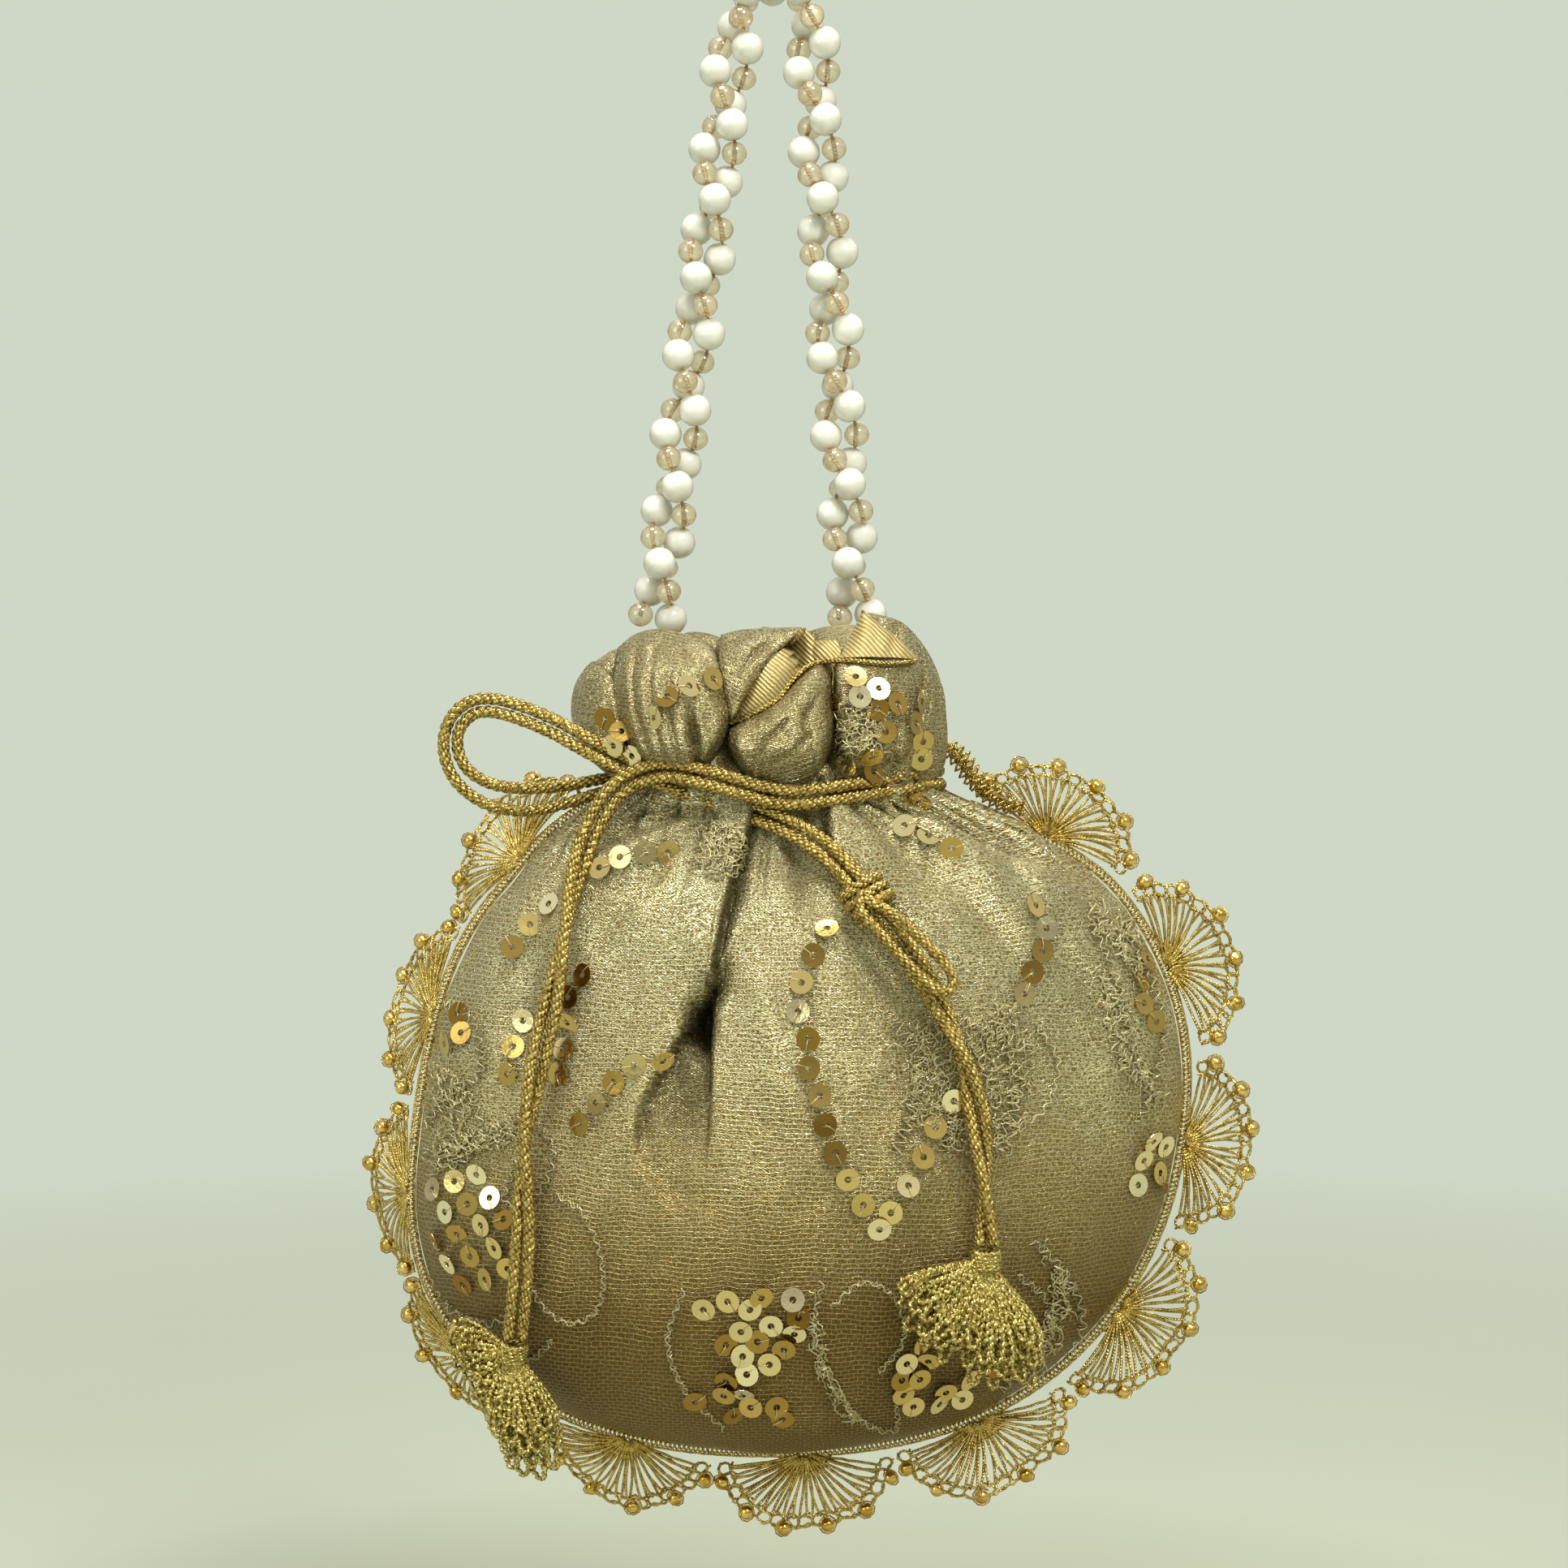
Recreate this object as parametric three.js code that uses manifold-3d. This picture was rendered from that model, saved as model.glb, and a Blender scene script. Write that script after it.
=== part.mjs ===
// A gathered drawstring pouch with a twisted bead handle, in millimetres.
// The origin is the hang point, inside the top of the handle loop. X runs to the right, Y to the back, Z up.
import * as THREE from "three";
import { mergeVertices } from "three/addons/utils/BufferGeometryUtils.js";
import Module from "manifold-3d";

const wasm = await Module();
wasm.setup();

// Clearance between pieces that touch
const seatGap = 0.35;

// Handle: two strands of pearls and glass beads, twisted about each other
const pearlDiameter = 8;
const glassDiameter = 6.2;
const strandClearance = 0.5; // between the strands, where a pearl and a glass bead lie side by side
const threadTipDiameter = 1.6; // thread at the sewn end of each strand
const handleDrop = 152; // hang point down to the sewn ends
const handleSpread = 49; // between the two sewn ends
const handleMiddle = -4.5; // the sewn ends' middle, to the side of the hang point
const loopWidth = 17.6; // between the strand pair's centre lines, at the top of the loop
const twistsPerLeg = 3.25;

// Frill above the tie
const frillHeight = 37;
const frillWidth = 91;
const frillDepth = 62;
const frillValleys = [-158, -114, -57, -12, 23, 106, 150]; // between the lobes, degrees right of the front
const valleyWidth = 9; // degrees over which a valley closes to a third
const lobeValley = 0.3; // depth of a valley between two lobes, as a share of the frill's radius
const valleyDrop = 0.16; // how far the crest sinks in a valley, as a share of the frill's height

// Neck, where the cords tie the cloth
const neckWidth = 74;
const neckDepth = 46;

// Body, two panels sewn together along a seam that runs down both sides and across the bottom
const bodyWidth = 186;
const bodyDepth = 78;
const shoulderHeight = 86; // tie to the widest level
const bellyHeight = 77; // widest level to the bottom
const shoulderRoundness = 2.4;
const bellyRoundness = 2.3;
const shoulderShift = 8.5; // how far the shoulders stand to the right of the bottom
const pleatDepth = 2.6; // small pleats round the neck
const pleatLength = 46;

// Mouth: satin lining, with a braided edge between it and the outer cloth
const liningThickness = 5;
const liningFlutes = 8;
const edgeBraidDiameter = 1.5;

// Lace: a crocheted strip of fans along the seam
const laceThickness = 1.2;
const laceBand = 2.2; // width of the chain along the seam
const fanPitch = 45;
const fanReach = 17.5; // seam to the rim
const fanRim = 2;
const fanHub = 4.6;
const fanRibs = 8;
const ribWidth = 1.15;
const rimBeadDiameter = 3.6;
const rimBeads = 6;
const laceWave = 2.2; // how far the fans ripple forward and back
const waveTurn = { x: 0.21, y: 0.17 }; // radians of that ripple per millimetre across and up
const waveStart = 3; // distance from the seam where the ripple begins
const waveEnd = 22; // and where it is full
const laceDroop = 48; // degrees that the fans of the left side lean back
const droopFull = 0.42; // shares of the body's width left of its middle: full lean beyond this one,
const droopNone = 0.1; // and no lean short of this one
const seamMarks = 480;

// Drawcords, their slip knot and their tassels
const cordDiameter = 3;
const knotLength = 9;
const tasselFlutes = 6;
const tasselFlatness = 0.66; // a bell's depth as a share of its width
const collarRadius = 3.4;
const collarLength = 5;

// Levels, from the hang point down
const helixRadius = (pearlDiameter + glassDiameter) / 4 + strandClearance / 2;
const loopRadius = loopWidth / 2;
const loopCentreZ = pearlDiameter / 2 - loopRadius;
const pivotZ = -handleDrop;
const crestZ = pivotZ - pearlDiameter / 2 - seatGap;
const tieZ = crestZ - frillHeight;
const bellyZ = tieZ - shoulderHeight;

const turn = 2 * Math.PI;
const columns = 48; // points round each section of the cloth
const frillRows = 12; // rings of cloth from the tie to the floor of the mouth

// Small helpers
const smooth = (from, to, value) => THREE.MathUtils.smoothstep(value, from, to);
const mix = THREE.MathUtils.lerp;

// A closed skin through rings of points that all run the same way round, capped at both ends by a point.
function skin(rings, firstPole, lastPole) {
  const count = rings[0].length;
  const points = [firstPole, ...rings.flat(), lastPole];
  const last = points.length - 1;
  const at = (ring, i) => 1 + ring * count + (i % count);
  const faces = [];
  for (let i = 0; i < count; i++) {
    faces.push(0, at(0, i), at(0, i + 1));
    faces.push(last, at(rings.length - 1, i + 1), at(rings.length - 1, i));
    for (let r = 0; r + 1 < rings.length; r++) {
      faces.push(at(r, i), at(r + 1, i + 1), at(r, i + 1));
      faces.push(at(r, i), at(r + 1, i), at(r + 1, i + 1));
    }
  }
  const geometry = new THREE.BufferGeometry().setFromPoints(points);
  geometry.setIndex(faces);
  return geometry;
}

// A closed tube round a loop of centre points, with sides flats.
function closedTube(centres, radius, sides) {
  const count = centres.length;
  const points = [];
  const faces = [];
  const up = new THREE.Vector3(0, 0, 1);
  centres.forEach((centre, i) => {
    const along = centres[(i + 1) % count].clone().sub(centres[(i + count - 1) % count]).normalize();
    const out = along.clone().cross(up).normalize();
    const over = out.clone().cross(along);
    for (let k = 0; k < sides; k++) {
      const a = (turn * k) / sides;
      points.push(
        centre.clone().addScaledVector(out, radius * Math.cos(a)).addScaledVector(over, radius * Math.sin(a)),
      );
    }
  });
  for (let i = 0; i < count; i++) {
    const here = i * sides;
    const next = ((i + 1) % count) * sides;
    for (let k = 0; k < sides; k++) {
      const l = (k + 1) % sides;
      faces.push(here + k, next + k, next + l, here + k, next + l, here + l);
    }
  }
  const geometry = new THREE.BufferGeometry().setFromPoints(points);
  geometry.setIndex(faces);
  return geometry;
}

// A three.js geometry as a solid, and a solid as a three.js geometry.
function solid(geometry) {
  const bare = geometry.clone();
  bare.deleteAttribute("normal");
  bare.deleteAttribute("uv");
  const merged = mergeVertices(bare, 1e-4);
  return new wasm.Manifold(
    new wasm.Mesh({
      numProp: 3,
      vertProperties: merged.attributes.position.array,
      triVerts: new Uint32Array(merged.index.array),
    }),
  );
}

function toGeometry(manifold) {
  const finest = 0.02; // slivers thinner than this are closed up
  const mesh = manifold.simplify(finest).getMesh();
  const geometry = new THREE.BufferGeometry();
  geometry.setAttribute("position", new THREE.BufferAttribute(mesh.vertProperties, 3));
  geometry.setIndex(new THREE.BufferAttribute(mesh.triVerts, 1));
  return geometry;
}

// Body outline. Half width, half depth and middle at a height.
function roundShare(z) {
  const above = z > bellyZ;
  const reach = above ? shoulderHeight : bellyHeight;
  const roundness = above ? shoulderRoundness : bellyRoundness;
  const share = Math.min(1, Math.abs(z - bellyZ) / reach);
  return (1 - share ** roundness) ** (1 / roundness);
}

// The body's round form runs into the neck over the last stretch below the tie.
function bodySection(z) {
  const join = 6;
  const neckShare = z > bellyZ ? 1 : 0;
  const widths = [(bodyWidth / 2) * roundShare(z), (neckWidth / 2) * neckShare];
  const depths = [(bodyDepth / 2) * roundShare(z) ** 0.9, (neckDepth / 2) * neckShare];
  const blend = ([a, b]) => (a ** join + b ** join) ** (1 / join);
  const lean = smooth(bellyZ - 60, bellyZ + 30, z) * (1 - smooth(tieZ - 26, tieZ, z));
  return { z, middle: shoulderShift * lean, halfWidth: blend(widths), halfDepth: blend(depths) };
}

// Height of a point of the outline, for an angle from the bottom, -90 degrees, up to the tie, 90 degrees.
function outlineHeight(angle) {
  const above = angle > 0;
  const reach = above ? shoulderHeight : bellyHeight;
  const roundness = above ? shoulderRoundness : bellyRoundness;
  return bellyZ + Math.sign(angle) * reach * Math.abs(Math.sin(angle)) ** (2 / roundness);
}

// Deep folds that run down from the neck: angle from the front's middle, depth and length.
const column = 360 / columns;
const frontFolds = [
  { angle: -2 * column, depth: 9, length: 74 },
  { angle: 3 * column, depth: 6.5, length: 44 },
  { angle: 8 * column, depth: 6, length: 38 },
  { angle: -6 * column, depth: 5.5, length: 34 },
];
const backFolds = [
  { angle: -4 * column, depth: 7, length: 60 },
  { angle: 1 * column, depth: 8, length: 68 },
  { angle: 5 * column, depth: 6, length: 46 },
  { angle: -8 * column, depth: 5, length: 36 },
];

function foldInset(turnShare, drop) {
  const degrees = turnShare * 360;
  const onFront = degrees < 180;
  const fromMiddle = onFront ? 90 - degrees : degrees - 270;
  const width = 1.15 * column;
  return (onFront ? frontFolds : backFolds).reduce((inset, fold) => {
    const across = Math.exp(-(((fromMiddle - fold.angle) / width) ** 2));
    const along = smooth(0, 8, drop) * (1 - smooth(fold.length * 0.45, fold.length, drop));
    return inset + fold.depth * across * along;
  }, 0);
}

// One ring of the body's cloth. The seam stays on the outline, so pleats and folds fade towards it.
function bodyRing({ z, middle, halfWidth, halfDepth }) {
  const drop = tieZ - z;
  const ring = [];
  for (let i = 0; i < columns; i++) {
    const share = i / columns;
    const c = Math.cos(turn * share);
    const s = Math.sin(turn * share);
    const pinch = 1 - 0.25 * (1 - Math.abs(s)) * smooth(10, 60, drop);
    const fromSeam = smooth(0.05, 0.35, Math.abs(s));
    const pleat = i % 3 === 1 ? pleatDepth * fromSeam * (1 - smooth(0, pleatLength, drop)) : 0;
    const inset = pleat + foldInset(share, drop) * fromSeam;
    const radius = Math.hypot(halfWidth * c, halfDepth * s) || 1;
    const keep = 1 - Math.min(0.6, inset / radius);
    ring.push(new THREE.Vector3(middle + halfWidth * c * keep, -halfDepth * s * pinch * keep, z));
  }
  return ring;
}

// Frill profile: share of its half width against share of its height, from the tie over the crest
// into the mouth.
const crestShare = handleSpread / frillWidth;
const mouthShare = crestShare * 0.74;
const frillProfile = new THREE.SplineCurve([
  new THREE.Vector2(neckWidth / frillWidth, 0),
  new THREE.Vector2(0.97, 0.26),
  new THREE.Vector2(1, 0.5),
  new THREE.Vector2(0.88, 0.84),
  new THREE.Vector2(crestShare, 1),
  new THREE.Vector2(mouthShare, 0.93),
  new THREE.Vector2(crestShare * 0.46, 0.72),
  new THREE.Vector2(crestShare * 0.12, 0.6),
]);
const crestStep = 4 / 7; // where the crest lies along the profile
const braidPlace = 9 / frillRows; // where the braided edge lies, just inside the crest

// How deep in a valley between two lobes a place round the frill is, from 0 to 1.
function lobeShare(share) {
  const degrees = 90 - share * 360;
  const turned = (valley) => THREE.MathUtils.euclideanModulo(degrees - valley + 180, 360) - 180;
  const away = frillValleys.map((valley) => Math.abs(turned(valley)));
  return Math.exp(-Math.min(...away) / valleyWidth);
}

// A point of the frill, at a place along its profile and round its turn, lifted off the cloth by lift.
function frillPoint(along, share, lift = 0) {
  const at = frillProfile.getPoint(along);
  const puff = smooth(0, 0.3, along);
  const valley = lobeShare(share);
  const depthShare = mix(neckDepth / neckWidth, frillDepth / frillWidth, puff);
  const radius = (frillWidth / 2) * at.x * (1 - lobeValley * puff * valley);
  const height = frillHeight * at.y * (1 - valleyDrop * smooth(0.2, crestStep, along) * valley);
  return new THREE.Vector3(
    handleMiddle * smooth(0, 0.3, along) + radius * Math.cos(turn * share),
    -radius * depthShare * Math.sin(turn * share),
    tieZ + height + lift,
  );
}

function frillRing(along, lift = 0) {
  return Array.from({ length: columns }, (_, i) => frillPoint(along, i / columns, lift));
}

const mouthFloor = (lift) => new THREE.Vector3(handleMiddle, 0, tieZ + frillHeight * 0.58 + lift);

// The pouch's outer cloth: body, neck and frill in one piece, gathered shut.
function pouchBody() {
  const rings = [];
  const bodyRows = 20;
  for (let k = 1; k <= bodyRows; k++) {
    const angle = mix(-0.5, 0.5, k / (bodyRows + 1)) * Math.PI;
    rings.push(bodyRing(bodySection(outlineHeight(angle))));
  }
  for (let k = 0; k <= frillRows; k++) rings.push(frillRing(k / frillRows));
  return skin(rings, new THREE.Vector3(0, 0, bellyZ - bellyHeight), mouthFloor(0));
}

// The lining's gathered edge, seated in the mouth: the cloth's own hollow below, a soft ruffle above.
function mouthLining() {
  const under = seatGap * 3.4; // straight up, so that the sloping cloth stays clear of it
  const steps = [0, 1, 2].map((back) => (frillRows - back) / frillRows);
  const ruffle = [0.35, 1, 0.6];
  const below = steps.map((along) => frillRing(along, under));
  const above = steps.map((along, k) =>
    frillRing(along).map((p, i) => {
      const flute = 0.75 + 0.25 * Math.cos(turn * liningFlutes * (i / columns - 0.25));
      return p.setZ(p.z + under + liningThickness * ruffle[ruffle.length - 1 - k] * flute);
    }),
  );
  return skin([...below, ...above.reverse()], mouthFloor(under), mouthFloor(under + liningThickness * 0.5));
}

// The braided edge that finishes the mouth, lying on the cloth just inside the crest.
function mouthBraid() {
  const radius = edgeBraidDiameter / 2;
  return closedTube(frillRing(braidPlace, radius * 1.5 + seatGap), radius, 4);
}

// Handle centre line: two straight legs that run tangent into a half loop over the top.
function handleLine() {
  const loopCentre = new THREE.Vector2(0, loopCentreZ);
  const ends = [-1, 1].map((side) => new THREE.Vector2(handleMiddle + (side * handleSpread) / 2, pivotZ));
  const tangents = ends.map((end, k) => {
    const side = k ? 1 : -1;
    const away = end.clone().sub(loopCentre);
    const angle = away.angle() + side * Math.acos(loopRadius / away.length());
    return new THREE.Vector2(Math.cos(angle), Math.sin(angle)).multiplyScalar(loopRadius).add(loopCentre);
  });
  const path = new THREE.CurvePath();
  path.add(new THREE.LineCurve(ends[0], tangents[0]));
  const [from, to] = tangents.map((t) => t.clone().sub(loopCentre).angle());
  path.add(new THREE.EllipseCurve(0, loopCentreZ, loopRadius, loopRadius, from, to, true));
  path.add(new THREE.LineCurve(tangents[1], ends[1]));
  return path;
}

// One strand's own path: it winds round the centre line on the legs and lies beside its twin over the loop.
function strandPath(side) {
  const line = handleLine();
  const lengths = line.getCurveLengths();
  const total = lengths[2];
  const samples = 700;
  const points = [];
  for (let k = 0; k <= samples; k++) {
    const run = (total * k) / samples;
    const at = line.getPoint(run / total);
    const along = line.getTangent(run / total);
    const goingUp = run < lengths[0];
    const down = Math.max(0, run - lengths[1]) / (total - lengths[1]);
    const legShare = goingUp ? 1 - run / lengths[0] : down;
    const way = goingUp ? -1 : 1;
    const angle = turn * (0.25 + way * twistsPerLeg * legShare) + (side > 0 ? 0 : Math.PI);
    const out = helixRadius * Math.cos(angle);
    points.push(
      new THREE.Vector3(at.x - out * along.y, helixRadius * Math.sin(angle), at.y + out * along.x),
    );
  }
  return new THREE.CatmullRomCurve3(points, false, "centripetal");
}

// A strand of beads on its thread, as one body: rings of a bead's own radius along the path.
function beadStrand(side) {
  const path = strandPath(side);
  path.arcLengthDivisions = 2800;
  const length = path.getLength();
  const pitch = (pearlDiameter + glassDiameter) / 2;
  const gaps = 2 * Math.round(length / pitch / 2);
  const sides = 6;
  const beadRings = [-0.86, 0, 0.86];
  const rings = [];
  const ringAt = (run, radius) => {
    const share = THREE.MathUtils.clamp(run / length, 0, 1);
    const centre = path.getPointAt(share);
    const along = path.getTangentAt(share);
    centre.addScaledVector(along, run - share * length);
    const out = new THREE.Vector3(0, 1, 0).cross(along).normalize();
    const over = out.clone().cross(along);
    rings.push(
      Array.from({ length: sides }, (_, k) => {
        const a = (turn * k) / sides;
        const corner = centre.clone().addScaledVector(out, radius * Math.cos(a));
        return corner.addScaledVector(over, radius * Math.sin(a));
      }),
    );
  };
  const tip = pearlDiameter / 2 + seatGap * 0.2;
  ringAt(-tip, threadTipDiameter / 2);
  for (let k = 0; k <= gaps; k++) {
    const pearl = (k % 2 === 0) === side < 0;
    const radius = (pearl ? pearlDiameter : glassDiameter) / 2;
    for (const share of beadRings)
      ringAt((length * k) / gaps + radius * share, radius * Math.sqrt(1 - share ** 2));
  }
  ringAt(length + tip, threadTipDiameter / 2);
  const middle = (ring) => ring.reduce((sum, p) => sum.add(p), new THREE.Vector3()).divideScalar(sides);
  return skin(rings, middle(rings[0]), middle(rings[rings.length - 1]));
}

// The seam, from the left shoulder down, across the bottom and up to the right shoulder, by length.
function seamLine() {
  const steps = 240;
  const topAngle = 0.37 * Math.PI;
  const points = [];
  for (let k = 0; k <= steps; k++) {
    const share = (2 * k) / steps - 1;
    const angle = mix(-0.5 * Math.PI, topAngle, Math.abs(share));
    const { z, middle, halfWidth } = bodySection(outlineHeight(angle));
    points.push(new THREE.Vector2(middle + Math.sign(share) * halfWidth, z));
  }
  const runs = [0];
  for (let k = 1; k < points.length; k++) runs.push(runs[k - 1] + points[k].distanceTo(points[k - 1]));
  const length = runs[runs.length - 1];
  const at = (run) => {
    const past = runs.findIndex((r) => r > run);
    const k = past < 0 ? runs.length - 2 : Math.max(0, past - 1);
    const way = points[k + 1].clone().sub(points[k]).normalize();
    const point = points[k].clone().addScaledVector(way, run - runs[k]);
    return { point, out: new THREE.Vector2(way.y, -way.x) };
  };
  return { length, at };
}

// Smoothed outward place: run along the seam and reach away from it, in the plane of the seam.
function lacePlace(seam, run, reach) {
  const { point } = seam.at(run);
  const spread = 6;
  const before = seam.at(Math.max(0, run - spread)).point;
  const after = seam.at(Math.min(seam.length, run + spread)).point;
  const way = after.sub(before).normalize();
  return point.add(new THREE.Vector2(way.y, -way.x).multiplyScalar(reach));
}

// Lace trim: a chain along the seam with a row of fans, their ribs, rims and rim beads, in one
// openwork piece.
function laceTrim() {
  const seam = seamLine();
  const fans = Math.round(seam.length / fanPitch);
  const pitch = seam.length / fans;
  const stretch = (pitch * 0.47) / fanReach;
  const onFan = (fan, angle, radius) =>
    lacePlace(
      seam,
      (fan + 0.5) * pitch - radius * stretch * Math.cos(angle),
      seatGap + 1.2 + radius * Math.sin(angle),
    );
  const low = 0.06 * Math.PI;
  const spread = Math.PI - 2 * low;
  const inner = [];
  const bandSteps = fans * 5;
  for (let k = bandSteps; k >= 0; k--) inner.push(lacePlace(seam, (seam.length * k) / bandSteps, seatGap));
  const outer = [];
  const rimSteps = 7;
  for (let fan = 0; fan < fans; fan++) {
    outer.push(lacePlace(seam, (fan + 0.012) * pitch, seatGap + laceBand));
    for (let k = 0; k <= rimSteps; k++) outer.push(onFan(fan, low + (spread * k) / rimSteps, fanReach));
    outer.push(lacePlace(seam, (fan + 0.988) * pitch, seatGap + laceBand));
  }
  const shape = new THREE.Shape([...inner, ...outer]);
  for (let fan = 0; fan < fans; fan++)
    for (let gap = 0; gap + 1 < fanRibs; gap++) {
      const from = low + (spread * gap) / (fanRibs - 1);
      const to = low + (spread * (gap + 1)) / (fanRibs - 1);
      const half = (radius) => ribWidth / 2 / radius;
      const near = fanHub;
      const far = fanReach - fanRim;
      shape.holes.push(
        new THREE.Path([
          onFan(fan, from + half(near), near),
          onFan(fan, to - half(near), near),
          onFan(fan, to - half(far), far),
          onFan(fan, from + half(far), far),
        ]),
      );
    }
  const plate = new THREE.ExtrudeGeometry(shape, { depth: laceThickness, bevelEnabled: false });
  plate.rotateX(Math.PI / 2).translate(0, laceThickness / 2, 0);
  let lace = solid(plate);
  for (let fan = 0; fan < fans; fan++)
    for (let k = 0; k < rimBeads; k++) {
      const at = onFan(fan, low + (spread * (k + 0.5)) / rimBeads, fanReach + rimBeadDiameter * 0.1);
      const bead = new THREE.OctahedronGeometry(rimBeadDiameter / 2, 0).translate(at.x, 0, at.y);
      lace = lace.add(solid(bead));
    }
  const geometry = toGeometry(lace);
  const position = geometry.getAttribute("position");
  const marks = Array.from({ length: seamMarks + 1 }, (_, k) => seam.at((seam.length * k) / seamMarks));
  for (let i = 0; i < position.count; i++) {
    const here = new THREE.Vector2(position.getX(i), position.getZ(i));
    const distances = marks.map((mark) => mark.point.distanceTo(here));
    const mark = marks[distances.indexOf(Math.min(...distances))].point;
    const away = here.clone().sub(mark);
    const reach = away.length();
    const upright = smooth(-bodyWidth * droopFull, -bodyWidth * droopNone, mark.x);
    const droop = THREE.MathUtils.degToRad(laceDroop) * (1 - upright);
    const ripple = Math.sin(waveTurn.x * here.x + waveTurn.y * here.y);
    const wave = laceWave * smooth(waveStart, waveEnd, reach) * ripple;
    const free = Math.max(0, reach - seatGap - laceBand);
    away.setLength(reach - free * (1 - Math.cos(droop))).add(mark);
    position.setXYZ(i, away.x, position.getY(i) + wave + free * Math.sin(droop), away.y);
  }
  return geometry;
}

// Doubled drawcords. Each point is x, y, z, the lay of the pair (degrees round its line, 0 is side by side)
// and how far its two strands spread, in strand spacings. Both pairs leave the gathered casing at the tie.
const leftPairRoute = [
  [40.6, -6.6, -191.6, 0, 1],
  [36.2, -13.6, -192.2, 0, 1],
  [28.6, -19.8, -193.4, 0, 1],
  [19.0, -25.0, -194.8, 0, 1],
  [11.0, -28.4, -196.0, 0, 1],
  [4.0, -30.2, -196.4, 0, 1],
  [-3.0, -30.8, -195.2, 0, 1],
  [-10.5, -30.4, -193.0, 0, 1],
  [-18.0, -29.2, -191.0, 0, 1],
  [-25.5, -27.4, -189.9, 0, 1],
  [-32.0, -24.4, -191.4, 0, 1],
  [-37.2, -22.8, -194.8, 0, 1],
  [-41.0, -22.6, -200.0, 0, 1],
  [-44.0, -23.4, -206.4, 20, 1],
  [-46.6, -26.0, -215.3, 55, 1],
  [-48.9, -30.4, -228.5, 100, 1],
  [-51.6, -32.2, -243.6, 150, 1],
  [-54.2, -32.2, -255.1, 190, 1],
  [-56.2, -32.0, -265.6, 230, 1],
  [-57.8, -31.8, -276.0, 270, 1],
  [-58.2, -31.6, -286.0, 305, 1],
  [-58.3, -31.2, -296.0, 335, 1],
  [-59.0, -30.0, -308.0, 360, 1],
  [-60.2, -27.4, -318.5, 360, 1],
  [-60.8, -26.2, -324.0, 360, 1],
];
const rightPairRoute = [
  [-41.8, -5.0, -193.6, 0, 1],
  [-50.0, -7.0, -195.6, 0, 1.3],
  [-59.5, -9.4, -197.0, 0, 1.7],
  [-68.2, -10.8, -195.8, 0, 1.6],
  [-74.6, -11.6, -191.8, 0, 1.3],
  [-77.6, -12.2, -186.2, 0, 1.1],
  [-77.4, -12.8, -180.2, 0, 1],
  [-74.2, -13.6, -175.8, 0, 1],
  [-69.2, -14.4, -174.2, 0, 1],
  [-62.0, -15.6, -175.6, 0, 1],
  [-52.6, -17.4, -179.4, 0, 1],
  [-43.0, -19.4, -184.6, 0, 1],
  [-34.0, -20.8, -189.0, 0, 1],
  [-24.5, -23.0, -192.4, 0, 1],
  [-14.5, -25.2, -196.2, 0, 1],
  [-5.0, -26.6, -199.6, 0, 1],
  [3.4, -29.4, -203.0, 0, 1],
  [11.0, -32.2, -207.6, 0, 1],
  [16.7, -34.8, -213.0, 0, 1],
  [22.0, -36.8, -219.6, 0, 1],
  [27.6, -38.0, -227.0, 0, 1],
  [33.3, -38.6, -235.4, 0, 1],
  [37.2, -38.8, -242.0, 25, 1],
  [41.4, -39.0, -250.0, 70, 1],
  [44.8, -39.0, -259.0, 120, 1],
  [47.2, -38.8, -269.5, 175, 1],
  [48.6, -38.2, -281.0, 235, 1],
  [49.2, -37.6, -291.0, 290, 1],
  [49.4, -36.8, -300.0, 360, 1],
];
const strandSpacing = cordDiameter + 2 * seatGap;
const cordStep = 3.5 * cordDiameter;
const toFront = new THREE.Vector3(0, -1, 0);

// A place on a pair's route, with its direction and the two directions across it.
function pairFrames(route) {
  const line = new THREE.CatmullRomCurve3(route.map(([x, y, z]) => new THREE.Vector3(x, y, z)));
  return route.map(([x, y, z], k) => {
    const along = line.getTangent(k / (route.length - 1));
    const front = toFront.clone().addScaledVector(along, -toFront.dot(along)).normalize();
    return { point: new THREE.Vector3(x, y, z), along, front, side: along.clone().cross(front) };
  });
}

// A many-sided section of a round cord.
function roundSection(radius, sides) {
  const corner = (_, k) => {
    const angle = (turn * (k + 0.5)) / sides;
    return new THREE.Vector2(radius * Math.cos(angle), radius * Math.sin(angle));
  };
  return new THREE.Shape(Array.from({ length: sides }, corner));
}

// One strand of a pair, as a plain tube.
function drawcord(route, side) {
  const frames = pairFrames(route);
  const centres = frames.map(({ point, front, side: across }, k) => {
    const lay = THREE.MathUtils.degToRad(route[k][3]);
    const reach = (side * route[k][4] * strandSpacing) / 2;
    return point
      .clone()
      .addScaledVector(across, reach * Math.cos(lay))
      .addScaledVector(front, reach * Math.sin(lay));
  });
  const path = new THREE.CatmullRomCurve3(centres, false, "centripetal");
  const steps = Math.round(path.getLength() / cordStep);
  return new THREE.ExtrudeGeometry(roundSection(cordDiameter / 2, 8), {
    steps,
    bevelEnabled: false,
    extrudePath: path,
  });
}

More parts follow.
